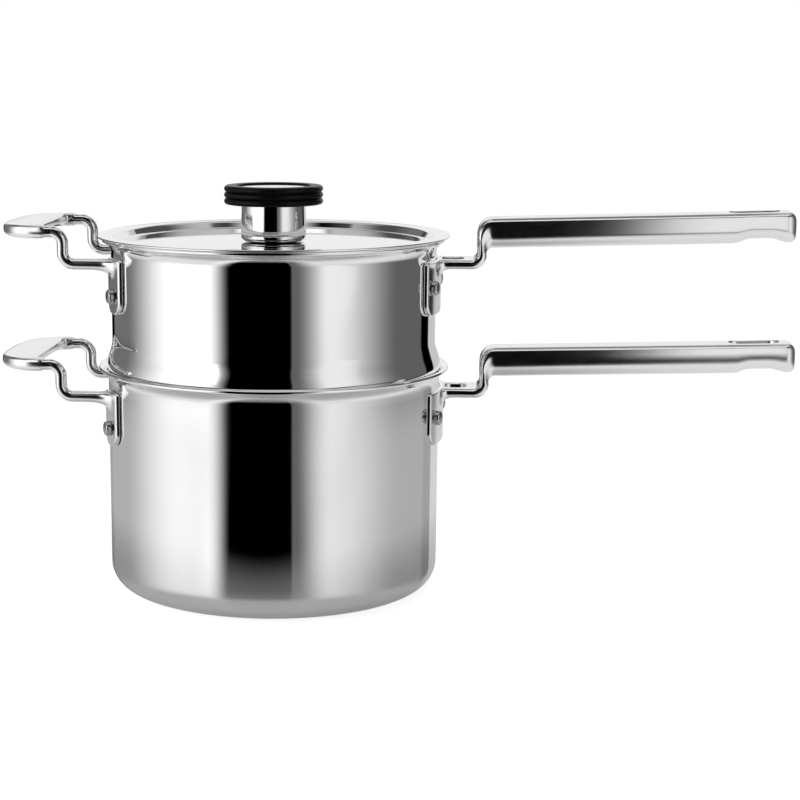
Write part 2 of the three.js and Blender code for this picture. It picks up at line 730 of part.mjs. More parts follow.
// Handles and rivets of a vessel, hung from its rim
function fittings(name, vessel) {
  const group = new THREE.Group();
  group.position.z = vessel.rim;
  const loopSide = new THREE.Group();
  loopSide.rotation.z = Math.PI;
  loopSide.position.z = -vessel.loopDrop;
  group.add(piece(`${name}_long_handle`, longHandle(vessel), STEEL));
  loopSide.add(piece(`${name}_helper_handle`, loopHandle(vessel), STEEL));
  const sides = { front: -1, rear: 1 };
  for (const [place, sign] of Object.entries(sides)) {
    const long = piece(`${name}_long_rivet_${place}`, rivet(vessel, LONG_RIVET_DROP), DULL_STEEL);
    long.position.z = -LONG_RIVET_DROP;
    long.rotation.z = sign * rivetAngle(vessel, LONG_RIVET_OFFSET, LONG_RIVET_DROP);
    group.add(long);
    const loop = piece(`${name}_helper_rivet_${place}`, rivet(vessel, LOOP_RIVET_DROP), DULL_STEEL);
    loop.position.z = -LOOP_RIVET_DROP;
    loop.rotation.z = -sign * rivetAngle(vessel, legMiddle, LOOP_RIVET_DROP);
    loopSide.add(loop);
  }
  group.add(loopSide);
  return group;
}

// Rivet holes through a vessel's wall, at both handles
function wallHoles(vessel) {
  const tools = [];
  for (const sign of [-1, 1]) {
    tools.push(rivetHole(vessel, sign * LONG_RIVET_OFFSET, LONG_RIVET_DROP, vessel.rim));
    const loopHole = rivetHole(vessel, sign * legMiddle, LOOP_RIVET_DROP + vessel.loopDrop, vessel.rim);
    loopHole.rotateZ(Math.PI);
    tools.push(loopHole);
  }
  return tools;
}

// Lid
const lidRadius = rimLipRadius(steamerVessel) + LID_OVERHANG;
const lidUnder = steamerVessel.rim + SEAT_GAP;
const lidTop = lidUnder + LID_SHEET;
const discTop = lidTop - LID_RECESS;
const screwHole = SCREW_RADIUS + HOLE_PLAY;

function lidProfile() {
  const recess = lidRadius - LID_RIM_WIDTH;
  const disc = recess - LID_RECESS_SLOPE;
  const turn = QUARTER - Math.atan2(LID_RECESS_SLOPE, LID_RECESS);
  const half = LID_SHEET / 2;
  const outerBend = LID_BEND + LID_SHEET;
  const lowBend = [disc, discTop + LID_BEND];
  const highBend = [recess + LID_BEND, lidUnder - LID_BEND];
  return closeLoop([
    [screwHole, discTop - LID_SHEET],
    ...arc(...lowBend, outerBend, -QUARTER, turn - QUARTER, ROLL_STEPS),
    ...arc(...highBend, LID_BEND, QUARTER + turn, QUARTER, ROLL_STEPS),
    ...arc(lidRadius - half, lidUnder + half, half, -QUARTER, QUARTER, ROLL_STEPS),
    ...arc(...highBend, outerBend, QUARTER, QUARTER + turn, ROLL_STEPS),
    ...arc(...lowBend, LID_BEND, turn - QUARTER, -QUARTER, ROLL_STEPS),
    [screwHole, discTop],
  ]);
}

// Knob. The cup stands on the lid, and its flange holds the grip ring.
const cupBottom = discTop + SEAT_GAP;
const ringBottom = cupBottom + STEM_HEIGHT;
const flangeUnder = ringBottom + FLANGE_HEIGHT;
const flangeTop = flangeUnder + FLANGE_THICKNESS;
const ringTop = ringBottom + GRIP_RIBS * GRIP_RIB_PITCH;
const sealTop = discTop + SEAT_GAP + SEAL_THICKNESS;
const capTop = ringTop - CAP_SINK;
const capRadius = STEM_RADIUS - CUP_WALL / 2;

function cupProfile() {
  const bore = STEM_RADIUS - CUP_WALL;
  const sealRecess = SEAL_RADIUS + SEAT_GAP;
  const floor = cupBottom + CUP_FLOOR;
  return closeLoop([
    [screwHole, sealTop + SEAT_GAP],
    [sealRecess, sealTop + SEAT_GAP],
    [sealRecess, cupBottom],
    ...arc(STEM_RADIUS - STEM_CORNER, cupBottom + STEM_CORNER, STEM_CORNER, -QUARTER, 0),
    [STEM_RADIUS, flangeUnder],
    [FLANGE_RADIUS, flangeUnder],
    [FLANGE_RADIUS, flangeTop],
    [bore, flangeTop],
    [bore, floor],
    [BOSS_RADIUS, floor],
    [BOSS_RADIUS, cupBottom + BOSS_HEIGHT],
    [screwHole, cupBottom + BOSS_HEIGHT],
  ]);
}

function gripRingProfile() {
  const middle = GRIP_RADIUS - GRIP_RIB_RADIUS;
  const apart = (ringTop - ringBottom - 2 * GRIP_RIB_RADIUS) / (GRIP_RIBS - 1);
  const meet = Math.asin(Math.min(1, apart / 2 / GRIP_RIB_RADIUS));
  const ribs = [];
  for (let rib = 0; rib < GRIP_RIBS; rib += 1) {
    const start = rib === 0 ? -QUARTER : -meet;
    const end = rib === GRIP_RIBS - 1 ? QUARTER : meet;
    const height = ringBottom + GRIP_RIB_RADIUS + rib * apart;
    const bead = arc(middle, height, GRIP_RIB_RADIUS, start, end, RIB_STEPS);
    ribs.push(...(rib === 0 ? bead : bead.slice(1)));
  }
  const lowBore = STEM_RADIUS + SEAT_GAP;
  const highBore = capRadius + SEAT_GAP;
  return closeLoop([
    [lowBore, ringBottom],
    ...ribs,
    [highBore, ringTop],
    [highBore, flangeTop + SEAT_GAP],
    [FLANGE_RADIUS + SEAT_GAP, flangeTop + SEAT_GAP],
    [FLANGE_RADIUS + SEAT_GAP, flangeUnder - SEAT_GAP],
    [lowBore, flangeUnder - SEAT_GAP],
  ]);
}

function capProfile() {
  const collar = STEM_RADIUS - CUP_WALL - SEAT_GAP;
  const seat = flangeTop + SEAT_GAP;
  const under = Math.max(seat, capTop - CAP_THICKNESS);
  return [
    [0, under],
    [collar - CUP_WALL, under],
    [collar - CUP_WALL, seat - CAP_PLUG],
    [collar, seat - CAP_PLUG],
    [collar, seat],
    [capRadius, seat],
    [capRadius, capTop - CAP_CHAMFER],
    [capRadius - CAP_CHAMFER, capTop],
    [0, capTop],
  ];
}

function flatRingProfile(inner, outer, bottom, top) {
  return closeLoop([[inner, bottom], [outer, bottom], [outer, top], [inner, top]]);
}

const washerTop = discTop - LID_SHEET - SEAT_GAP;
const washerBottom = washerTop - WASHER_THICKNESS;

function screwProfile() {
  const headTop = washerBottom - SEAT_GAP;
  const headBottom = headTop - SCREW_HEAD_HEIGHT;
  return [
    [0, headBottom],
    [SCREW_HEAD_RADIUS - SCREW_HEAD_CHAMFER, headBottom],
    [SCREW_HEAD_RADIUS, headBottom + SCREW_HEAD_CHAMFER],
    [SCREW_HEAD_RADIUS, headTop],
    [SCREW_RADIUS, headTop],
    [SCREW_RADIUS, headTop + SCREW_LENGTH],
    [0, headTop + SCREW_LENGTH],
  ];
}

function lidGroup() {
  const seal = flatRingProfile(screwHole, SEAL_RADIUS, discTop + SEAT_GAP, sealTop);
  const washer = flatRingProfile(screwHole, WASHER_RADIUS, washerBottom, washerTop);
  const turned = {
    lid_dish: [lidProfile(), VESSEL_SIDES, STEEL],
    knob_cup: [cupProfile(), KNOB_SIDES, STEEL],
    knob_grip_ring: [gripRingProfile(), KNOB_SIDES, SILICONE],
    knob_cap: [capProfile(), KNOB_SIDES, STEEL],
    knob_seal: [seal, SMALL_SIDES, SILICONE],
    knob_washer: [washer, SMALL_SIDES, DULL_STEEL],
    knob_screw: [screwProfile(), SMALL_SIDES, DULL_STEEL],
  };
  const group = new THREE.Group();
  for (const [name, [profile, sides, look]] of Object.entries(turned)) {
    group.add(piece(name, revolve(profile, sides), look));
  }
  return group;
}

// A vessel's body with its holes, and the fittings on it
function vesselGroup(name, vessel, profile, holes) {
  const tools = [...wallHoles(vessel), ...holes];
  const body = cut(solid(revolve(profile, VESSEL_SIDES)), tools);
  const group = new THREE.Group();
  group.add(piece(`${name}_body`, body, STEEL));
  group.add(fittings(name, vessel));
  return group;
}

const group = new THREE.Group();
group.add(vesselGroup('pot', potVessel, potProfile(), []));
group.add(vesselGroup('steamer', steamerVessel, steamerProfile(), steamHoles()));
group.add(lidGroup());

export default group;
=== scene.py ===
"""Looks of the steamer pot: fine meshes, finishes, studio and camera.

Lengths are in millimetres until a mesh is made, and in metres in the studio.
"""

import json
import math
from collections import namedtuple

import bmesh
import bpy
from mathutils import Matrix, Vector


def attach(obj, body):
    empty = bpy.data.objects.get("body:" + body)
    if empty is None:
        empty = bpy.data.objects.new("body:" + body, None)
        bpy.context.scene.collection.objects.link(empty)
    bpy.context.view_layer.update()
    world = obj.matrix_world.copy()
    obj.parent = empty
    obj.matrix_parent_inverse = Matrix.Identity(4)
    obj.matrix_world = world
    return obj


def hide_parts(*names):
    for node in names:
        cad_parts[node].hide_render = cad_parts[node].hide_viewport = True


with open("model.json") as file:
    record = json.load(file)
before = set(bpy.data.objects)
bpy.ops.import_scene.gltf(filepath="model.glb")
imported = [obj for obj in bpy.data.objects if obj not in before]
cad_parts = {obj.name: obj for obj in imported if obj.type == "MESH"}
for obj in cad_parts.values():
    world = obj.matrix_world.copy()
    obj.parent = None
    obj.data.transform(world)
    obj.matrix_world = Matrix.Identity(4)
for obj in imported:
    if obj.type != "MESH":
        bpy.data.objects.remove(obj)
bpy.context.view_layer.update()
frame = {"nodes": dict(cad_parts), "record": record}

MM = 0.001
QUARTER = math.pi / 2

# Sizes of the object. They are those of the solids, apart from the stem's taper, the knob's cap, the lid's
# overhang, which stays just inside the solid's, and the small edges that only the fine meshes have.
SEAT_GAP = 0.3
POT_HEIGHT = 125.8
POT_RADIUS = 92.4
POT_WALL = 2.4
POT_CORNER = 14.5
WALL_DRAFT = 0.004
FLARE_RADIUS = 7
FLARE_TURN = 1.19
STEAMER_RISE = 71
STEAMER_STEP = 0.2
STEAMER_WALL = 2
SKIRT_DEPTH = 22
SKIRT_PLAY = 1.3
SKIRT_CORNER = 6
BEAD_RADIUS = 3
BEAD_REACH = 2.9
WAIST_HEIGHT = 14
STEAM_HOLE_RADIUS = 3.5
STEAM_HOLE_PITCH = 21
STEAM_HOLE_RINGS = 3
STEAM_HOLE_STEP = 6
STEAM_HOLE_EDGE = 0.3            # the holes' edges are broken by this much
LID_SHEET = 1.2
LID_OVERHANG = 2.39
LID_RIM_WIDTH = 9.5
LID_RECESS = 4.2
LID_RECESS_SLOPE = 3.4
LID_BEND = 1.6
STEM_RADIUS = 17.8
STEM_HEIGHT = 20.2
STEM_CORNER = 2.6
STEM_TAPER = 0.35                # the stem is wider at its foot and narrower at the ring by this much
CUP_WALL = 1.6
CUP_FLOOR = 3
FLANGE_RADIUS = 22.5
FLANGE_HEIGHT = 4
FLANGE_THICKNESS = 1.6
GRIP_RADIUS = 27.4
GRIP_RIBS = 3
GRIP_RIB_PITCH = 3.5
GRIP_RIB_RADIUS = 1.85
GRIP_EDGE = 1.2
CAP_SINK = 0.8
CAP_OVERLAP = 2.2                # the cap is wider than the stem by this much, to each side
CAP_PLUG = 3
CAP_EDGE = 0.6
SEAL_RADIUS = 9
SEAL_THICKNESS = 0.9
SCREW_RADIUS = 2.5
SCREW_PLAY = 0.3
SCREW_LENGTH = 13
SCREW_HEAD_RADIUS = 4.8
SCREW_HEAD_HEIGHT = 2.6
SCREW_HEAD_EDGE = 1.3
SCREW_CROSS = (5.2, 1.1, 1.2)    # length, width and depth of the driver cross
WASHER_RADIUS = 8
WASHER_THICKNESS = 1
BOSS_RADIUS = 6
BOSS_HEIGHT = 9
PLATE_THICKNESS = 2.5
PLATE_CORNER = 8
PLATE_TOP_CORNER = 2
PLATE_EDGE = 0.9                 # radius along a plate's edges
PLATE_STEP = 0.05                # how far a plate's top stays below the top of its arm
ARM_EDGE_SHARE = 0.92            # of half an arm's thickness, the radius along its edges
RIVET_RADIUS = 2.6
RIVET_HEAD_RADIUS = 4
RIVET_HEAD_HEIGHT = 3.4
RIVET_HEAD_EDGE = 1.4
RIVET_EDGE_TURN = 1.35           # radians that the head's edge turns
RIVET_CROWN = 0.35               # rise of the head's top inside its edge
CROWN_POINT = (0.3, 0.2)         # share of the head's radius, and of the crown that is left to rise there
RIVET_INNER_RADIUS = 5
RIVET_INNER_HEIGHT = 1.6
RIVET_INNER_EDGE = 1
LONG_REACH = 192.8
LONG_PLATE_WIDTH = 64
LONG_PLATE_BOTTOM = 40.6
LONG_RIVET_DROP = 25.1
LONG_RIVET_OFFSET = 24.4
ARM_ROOT = 0.4                   # how far an arm starts inside its plate
ARM_FILLET = 4                   # between a plate's face and the sides of its arm
ARM_UNDER_FILLET = 6
BRIDGE_DROP = 11.1
BRIDGE_THICKNESS = 5
BRIDGE_WIDTH = 27
BRIDGE_SLOT_WIDTH = 14
BRIDGE_SLOT_START = 3.2
BRIDGE_SLOT_LENGTH = 11.8
BRIDGE_SLOT_CORNER = 4
RISER_OFFSET = 22.4
RISER_THICKNESS = 5.4
RISER_WIDTH = 25
RISER_INNER_BEND = 3.5
RISER_OUTER_BEND = 7.5
ROD_RISE = 11.7
ROD_HEIGHT = 16.8
ROD_SHOULDER = 8.5
ROD_FILLET = 3.2
ROD_SLOPE = 0.03
ROD_START_WIDTH = 21
ROD_WIDTH = 23
ROD_TAPER_LENGTH = 98
ROD_END_ROUND = 6
ROD_END_TOP = 4.5
ROD_END_BOTTOM = 2.5
SCALLOP_START = 32               # before the end of the rod
SCALLOP_END = 2.8
SCALLOP_DEPTH = 2.2
SCALLOP_RAMPS = (8, 11)
HANG_SLOT_LENGTH = 27
HANG_SLOT_WIDTH = 12
HANG_SLOT_END = 8
SLOT_CHAMFER = 0.5
SLOT_FLAT = 0.1                  # straight stretch that is kept between two round corners
LOOP_REACH = 58.8
LOOP_WIDTH = 89
LOOP_GAP_WIDTH = 73
PADDLE_DEPTH = 22.2
PADDLE_RISE = 4.9
PADDLE_THICKNESS = 7.4
PADDLE_ROUNDNESS = 2.8
PADDLE_GAP_ROUNDNESS = 6
PADDLE_START = 1.5               # leg bends from the legs to the start of the paddle
PADDLE_GROWN = 0.125             # share of the half paddle over which the leg's section becomes its own
LEG_DROP = 12.5
LEG_THICKNESS = 6.1
LEG_WIDTH = 7
LEG_OFFSET = 20.2
LEG_BEND = 6.3
FOOT_WIDTH = 18.5
FOOT_BOTTOM = 39.7
LOOP_RIVET_DROP = 29.8
POT_LOOP_DROP = 1.7

# Exponents of the round handle sections, over and under the middle
ROD_EXPONENTS = (4.5, 2.5)
LEG_EXPONENTS = (2.3, 2.3)
PADDLE_EXPONENTS = (4, 2.6)

# Fineness of the meshes
VESSEL_SIDES = 240
KNOB_SIDES = 128
SMALL_SIDES = 48
HOLE_SIDES = 28
BEND_STEPS = 12
QUADRANT_STEPS = 14              # points over a quarter of a handle's section
SIDE_SHARE = 0.12                # of those, where the flat side ends
TOP_SHARE = 0.62                 # and where the flat top starts
ROD_STEPS = 30
SCALLOP_STEPS = 30
PADDLE_STEPS = 40
LONGEST_STEP = 4                 # of a straight stretch in a turned profile
EDGE_STEPS = 6                   # of small rounded edges
HEAD_STEPS = 8                   # of the edge of a rivet's outer head
RING_EDGE_STEPS = 3              # of the edges of the seal and the washer
CUT_PAST = 1                     # how far a cutter goes past what it cuts
SHARP_ANGLE = math.radians(40)
WELD_DISTANCE = 1e-7             # metres

Vessel = namedtuple("Vessel", "name radius wall rim loop_drop")
POT = Vessel("pot", POT_RADIUS, POT_WALL, POT_HEIGHT, POT_LOOP_DROP)
STEAMER = Vessel(
    "steamer",
    POT_RADIUS - POT_WALL + STEAMER_STEP,
    STEAMER_WALL,
    POT_HEIGHT + STEAMER_RISE,
    0,
)


def mix(start, end, share):
    return start + (end - start) * share


def smooth(share):
    """Goes from 0 to 1 with level ends."""
    held = min(1, max(0, share))
    return held * held * (3 - 2 * held)


def arc(centre_x, centre_y, radius, start, end, steps=BEND_STEPS):
    points = []
    for i in range(steps + 1):
        angle = mix(start, end, i / steps)
        points.append((centre_x + radius * math.cos(angle), centre_y + radius * math.sin(angle)))
    return points


def refined(profile):
    """Splits the long straight stretches of a profile."""
    points = [profile[0]]
    for end in profile[1:]:
        start = points[-1]
        count = max(1, math.ceil(math.dist(start, end) / LONGEST_STEP))
        for i in range(1, count + 1):
            points.append((mix(start[0], end[0], i / count), mix(start[1], end[1], i / count)))
    return points


# Meshes

def new_object(name, points, faces):
    mesh = bpy.data.meshes.new(name)
    mesh.from_pydata([Vector(point) * MM for point in points], [], faces)
    made = bmesh.new()
    made.from_mesh(mesh)
    bmesh.ops.remove_doubles(made, verts=made.verts, dist=WELD_DISTANCE)
    bmesh.ops.recalc_face_normals(made, faces=made.faces)
    made.to_mesh(mesh)
    made.free()
    shade(mesh)
    obj = bpy.data.objects.new(name, mesh)
    bpy.context.scene.collection.objects.link(obj)
    return obj


def shade(mesh):
    mesh.shade_smooth()
    mesh.set_sharp_from_angle(angle=SHARP_ANGLE)


def turned(name, profile, sides):
    """Turns a profile of (radius, height) points about the Z axis.

    A profile that ends where it starts makes a ring.
    """
    profile = refined(profile)
    points = []
    rows = []
    for radius, height in profile:
        if radius == 0:
            rows.append([len(points)] * sides)
            points.append((0, 0, height))
            continue
        rows.append(list(range(len(points), len(points) + sides)))
        for i in range(sides):
            angle = 2 * math.pi * i / sides
            points.append((radius * math.cos(angle), radius * math.sin(angle), height))
    faces = []
    for low, high in zip(rows, rows[1:]):
        for i in range(sides):
            j = (i + 1) % sides
            corners = [low[i], low[j], high[j], high[i]]
            face = [c for k, c in enumerate(corners) if c != corners[k - 1]]
            if len(face) > 2:
                faces.append(face)
    return new_object(name, points, faces)


def lofted(name, rings):
    """Skins a row of rings and closes both ends."""
    count = len(rings[0])
    points = [point for ring in rings for point in ring]
    faces = []
    for row in range(len(rings) - 1):
        for i in range(count):
            j = (i + 1) % count
            low = row * count
            faces.append((low + i, low + j, low + count + j, low + count + i))
    last = (len(rings) - 1) * count
    faces.append(tuple(range(count - 1, -1, -1)))
    faces.append(tuple(range(last, last + count)))
    return new_object(name, points, faces)


def combine(obj, others, operation):
    """Joins other objects to one, or cuts them out of it, and removes them."""
    for other in others:
        modifier = obj.modifiers.new("combine", "BOOLEAN")
        modifier.operation = operation
        modifier.solver = "MANIFOLD"
        modifier.object = other
    graph = bpy.context.evaluated_depsgraph_get()
    mesh = bpy.data.meshes.new_from_object(obj.evaluated_get(graph))
    obj.modifiers.clear()
    obj.data = mesh
    shade(mesh)
    for other in others:
        bpy.data.objects.remove(other)
    return obj


def carve(obj, cutters):
    return combine(obj, cutters, "DIFFERENCE")


# Vessels

def flare(vessel):
    """Centre radius, centre height and inside radius of the rim's flare."""
    inner = FLARE_RADIUS + vessel.wall
    return vessel.radius + FLARE_RADIUS, vessel.rim - inner * math.sin(FLARE_TURN), inner


def rim_profile(vessel):
    radius, height, inner = flare(vessel)
    end = math.pi - FLARE_TURN
    middle = FLARE_RADIUS + vessel.wall / 2
    edge = (radius + middle * math.cos(end), height + middle * math.sin(end))
    return [
        *arc(radius, height, FLARE_RADIUS, math.pi, end),
        *arc(*edge, vessel.wall / 2, end - math.pi, end)[1:-1],
        *arc(radius, height, inner, end, math.pi),
    ]


def wall_radius(vessel, height):
    return vessel.radius - WALL_DRAFT * max(0, flare(vessel)[1] - height)


def pot_body():
    corner = wall_radius(POT, POT_CORNER) - POT_CORNER
    return turned("pot_body_skin", [
        (0, 0),
        *arc(corner, POT_CORNER, POT_CORNER, -QUARTER, 0),
        *rim_profile(POT),
        *arc(corner, POT_CORNER, POT_CORNER - POT_WALL, 0, -QUARTER),
        (0, POT_WALL),
    ], VESSEL_SIDES)


skirt_bottom = POT_HEIGHT - SKIRT_DEPTH
skirt_radius = wall_radius(POT, skirt_bottom) - POT_WALL - SKIRT_PLAY


def bead_centre():
    centre_radius, centre_height, inner = flare(POT)
    radius = STEAMER.radius + BEAD_REACH - BEAD_RADIUS
    apart = inner + SEAT_GAP + BEAD_RADIUS
    across = centre_radius - radius
    return radius, centre_height + math.sqrt(apart ** 2 - across ** 2)


def waist(inset):
    radius, height = bead_centre()
    high = wall_radius(STEAMER, height + WAIST_HEIGHT)
    points = []
    for i in range(BEND_STEPS + 1):
        share = i / BEND_STEPS
        points.append((mix(radius + BEAD_RADIUS, high, smooth(share)) - inset, height + WAIST_HEIGHT * share))
    return points


def drilled(radius, x, y, bottom, top, flare_width):
    """A round cutter along Z that widens at both ends, so that the hole's edges are broken."""
    rings = []
    for height, wide in (
        (bottom - CUT_PAST, 1), (bottom, 1), (bottom + flare_width, 0),
        (top - flare_width, 0), (top, 1), (top + CUT_PAST, 1),
    ):
        reach = radius + wide * flare_width
        rings.append([
            (x + reach * math.cos(2 * math.pi * i / HOLE_SIDES),
             y + reach * math.sin(2 * math.pi * i / HOLE_SIDES), height)
            for i in range(HOLE_SIDES)
        ])
    return lofted("cutter", rings)


def steamer_body():
    bead_radius, bead_height = bead_centre()
    tuck = -math.acos((skirt_radius - bead_radius) / BEAD_RADIUS)
    corner = skirt_radius - SKIRT_CORNER
    corner_height = skirt_bottom + SKIRT_CORNER
    inner_bead = bead_height - BEAD_RADIUS + STEAMER_WALL
    body = turned("steamer_body_skin", [
        (0, skirt_bottom),
        *arc(corner, corner_height, SKIRT_CORNER, -QUARTER, 0),
        *arc(bead_radius, bead_height, BEAD_RADIUS, tuck, 0),
        *waist(0)[1:],
        *rim_profile(STEAMER),
        *reversed(waist(STEAMER_WALL)),
        (bead_radius, inner_bead),
        (skirt_radius - STEAMER_WALL, inner_bead - STEAMER_WALL),
        *arc(corner, corner_height, SKIRT_CORNER - STEAMER_WALL, 0, -QUARTER),
        (0, skirt_bottom + STEAMER_WALL),
    ], VESSEL_SIDES)
    cutters = []
    for ring in range(STEAM_HOLE_RINGS + 1):
        count = max(1, ring * STEAM_HOLE_STEP)
        for i in range(count):
            angle = 2 * math.pi * i / count
            reach = ring * STEAM_HOLE_PITCH
            cutters.append(drilled(
                STEAM_HOLE_RADIUS, reach * math.cos(angle), reach * math.sin(angle),
                skirt_bottom, skirt_bottom + STEAMER_WALL, STEAM_HOLE_EDGE,
            ))
    return carve(body, cutters)


# Handles

Pair = namedtuple("Pair", "upper lower width wrap round")


def quadrant_point(half_width, half_height, edge, exponent, roundness, share):
    """A point from a section's side, at share 0, to its top, at share 1."""
    edge = min(edge, half_width, half_height)
    if share < SIDE_SHARE:
        boxy = (half_width, (half_height - edge) * share / SIDE_SHARE)
    elif share < TOP_SHARE:
        angle = QUARTER * (share - SIDE_SHARE) / (TOP_SHARE - SIDE_SHARE)
        boxy = (half_width - edge + edge * math.cos(angle), half_height - edge + edge * math.sin(angle))
    else:
        boxy = ((half_width - edge) * (1 - share) / (1 - TOP_SHARE), half_height)
    angle = QUARTER * share
    oval = (
        half_width * max(0, math.cos(angle)) ** (2 / exponent),
        half_height * math.sin(angle) ** (2 / exponent),
    )
    return mix(boxy[0], oval[0], roundness), mix(boxy[1], oval[1], roundness)


def section(half_width, half_height, edge, exponents, roundness):
    """Outline of a section, from its side over the top to the other side and back underneath."""
    points = []
    for exponent, vertical in zip(exponents, (1, -1)):
        for across, backward in ((vertical, False), (-vertical, True)):
            for i in range(QUADRANT_STEPS):
                share = i / QUADRANT_STEPS
                if backward:
                    share = 1 - share
                x, y = quadrant_point(half_width, half_height, edge, exponent, roundness, share)
                points.append((across * x, vertical * y))
    return points


def fitting_point(vessel, out, sideways, height, wrap):
    reach = wall_radius(vessel, vessel.rim + height) + out
    curved = math.sqrt(reach ** 2 - sideways ** 2)
    return mix(reach, curved, wrap), sideways, vessel.rim + height


def section_rings(vessel, pairs, offset, exponents, edge=None):
    """Rings of a plate, with that edge radius, or of an arm, whose edges follow its thickness."""
    rings = []
    for pair in pairs:
        half = math.dist(pair.upper, pair.lower) / 2
        radius = edge or ARM_EDGE_SHARE * half
        ring = []
        for across, along in section(pair.width / 2, half, radius, exponents, pair.round):
            share = (1 + along / half) / 2
            out = mix(pair.lower[0], pair.upper[0], share)
            height = mix(pair.lower[1], pair.upper[1], share)
            ring.append(fitting_point(vessel, out, offset + across, height, pair.wrap))
        rings.append(ring)
    return rings


def pair_up(upper, lower, widths, wraps, rounds):
    last = len(upper) - 1
    return [
        Pair(high, low, mix(*widths, smooth(i / last)), mix(*wraps, i / last), mix(*rounds, smooth(i / last)))
        for i, (high, low) in enumerate(zip(upper, lower))
    ]


def corner_drop(distance, radius):
    """How far a round corner of that radius has fallen back, at a distance from its end."""
    return radius - math.sqrt(radius ** 2 - max(0, radius - distance) ** 2)


def plate(vessel, bottom, top, width, offset):
    """A plate that follows the wall, with round lower corners and all its edges rounded."""
    height = bottom - top
    levels = []
    for _, rise in arc(0, PLATE_CORNER, PLATE_CORNER, -QUARTER, 0, 2 * BEND_STEPS):
        levels.append(rise)
    for _, fall in arc(0, PLATE_TOP_CORNER, PLATE_TOP_CORNER, 0, -QUARTER, 2 * BEND_STEPS):
        levels.append(height - fall)
    pairs = []
    for level in levels:
        low_corner = corner_drop(level, PLATE_CORNER)
        high_corner = corner_drop(height - level, PLATE_TOP_CORNER)
        thinned = corner_drop(min(level, height - level), PLATE_EDGE)
        back = (SEAT_GAP + thinned, level - bottom)
        face = (SEAT_GAP + PLATE_THICKNESS - thinned, level - bottom)
        pairs.append(Pair(back, face, width - 2 * (low_corner + high_corner), 1, 0))
    middle = 2 * BEND_STEPS
    pairs[middle + 1:middle + 1] = run(pairs[middle], pairs[middle + 1], BEND_STEPS)
    return lofted("plate", section_rings(vessel, pairs, offset, LEG_EXPONENTS, PLATE_EDGE))


def arm_root(top, bottom, width, roundness, wrap_end):
    """The start of an arm, with fillets against the plate's face. Its narrow end is inside the plate."""
    face = SEAT_GAP + PLATE_THICKNESS
    inside = face - ARM_ROOT
    pairs = [Pair((inside, top), (inside, bottom), width / 2, 1, roundness)]
    for distance, _ in arc(ARM_UNDER_FILLET, 0, ARM_UNDER_FILLET, math.pi, QUARTER):
        out = face + distance
        wider = corner_drop(distance, ARM_FILLET)
        deeper = corner_drop(distance, ARM_UNDER_FILLET)
        wrap = 1 - smooth(distance / (wrap_end - face))
        pairs.append(Pair((out, top), (out, bottom - deeper), width + 2 * wider, wrap, roundness))
    return pairs


def run(first, last, steps):
    """Pairs between two pairs, without the ends."""
    pairs = []
    for i in range(1, steps):
        share = i / steps
        points = [
            (mix(a[0], b[0], share), mix(a[1], b[1], share))
            for a, b in ((first.upper, last.upper), (first.lower, last.lower))
        ]
        values = [mix(a, b, smooth(share)) for a, b in zip(first[2:], last[2:])]
        pairs.append(Pair(*points, *values))
    return pairs


def long_handle_pairs():
    bridge_bottom = -BRIDGE_DROP - BRIDGE_THICKNESS
    riser_back = RISER_OFFSET + RISER_THICKNESS
    bend = pair_up(
        arc(RISER_OFFSET - RISER_INNER_BEND, RISER_INNER_BEND - BRIDGE_DROP, RISER_INNER_BEND, -QUARTER, 0),
        arc(riser_back - RISER_OUTER_BEND, bridge_bottom + RISER_OUTER_BEND, RISER_OUTER_BEND, -QUARTER, 0),
        (BRIDGE_WIDTH, RISER_WIDTH), (0, 0), (0, 0),
    )
    root = arm_root(-BRIDGE_DROP, bridge_bottom, BRIDGE_WIDTH, 0, bend[0].upper[0])
    turn = pair_up(
        arc(RISER_OFFSET + ROD_SHOULDER, ROD_RISE - ROD_SHOULDER, ROD_SHOULDER, math.pi, QUARTER),
        arc(riser_back + ROD_FILLET, ROD_RISE - ROD_HEIGHT - ROD_FILLET, ROD_FILLET, math.pi, QUARTER),
        (RISER_WIDTH, ROD_START_WIDTH), (0, 0), (0, 1),
    )
    bridge = run(root[-1], bend[0], BEND_STEPS)
    riser = run(bend[-1], turn[0], BEND_STEPS // 2)
    return [*root, *bridge, *bend, *riser, *turn]


rod_start = RISER_OFFSET + RISER_THICKNESS + ROD_FILLET


def rod_pair(out):
    into = smooth((out - LONG_REACH + SCALLOP_START) / SCALLOP_RAMPS[0])
    leave = smooth((LONG_REACH - SCALLOP_END - out) / SCALLOP_RAMPS[1])
    left = LONG_REACH - out
    top = ROD_RISE + ROD_SLOPE * (out - rod_start)
    bottom = top - ROD_HEIGHT + SCALLOP_DEPTH * into * leave
    width = mix(ROD_START_WIDTH, ROD_WIDTH, smooth((out - rod_start) / ROD_TAPER_LENGTH))
    return Pair(
        (out, top - corner_drop(left, ROD_END_TOP)),
        (out, bottom + corner_drop(left, ROD_END_BOTTOM)),
        width - 2 * corner_drop(left, ROD_END_ROUND), 0, 1,
    )


def rod_pairs():
    scallop_start = LONG_REACH - SCALLOP_START
    end_start = LONG_REACH - ROD_END_ROUND
    outs = [mix(rod_start, scallop_start, i / ROD_STEPS) for i in range(1, ROD_STEPS + 1)]
    outs += [mix(scallop_start, end_start, i / SCALLOP_STEPS) for i in range(1, SCALLOP_STEPS + 1)]
    outs += [end_start + along for along, _ in arc(0, 0, ROD_END_ROUND, QUARTER, 0, 2 * BEND_STEPS)[1:]]
    return [rod_pair(out) for out in outs]


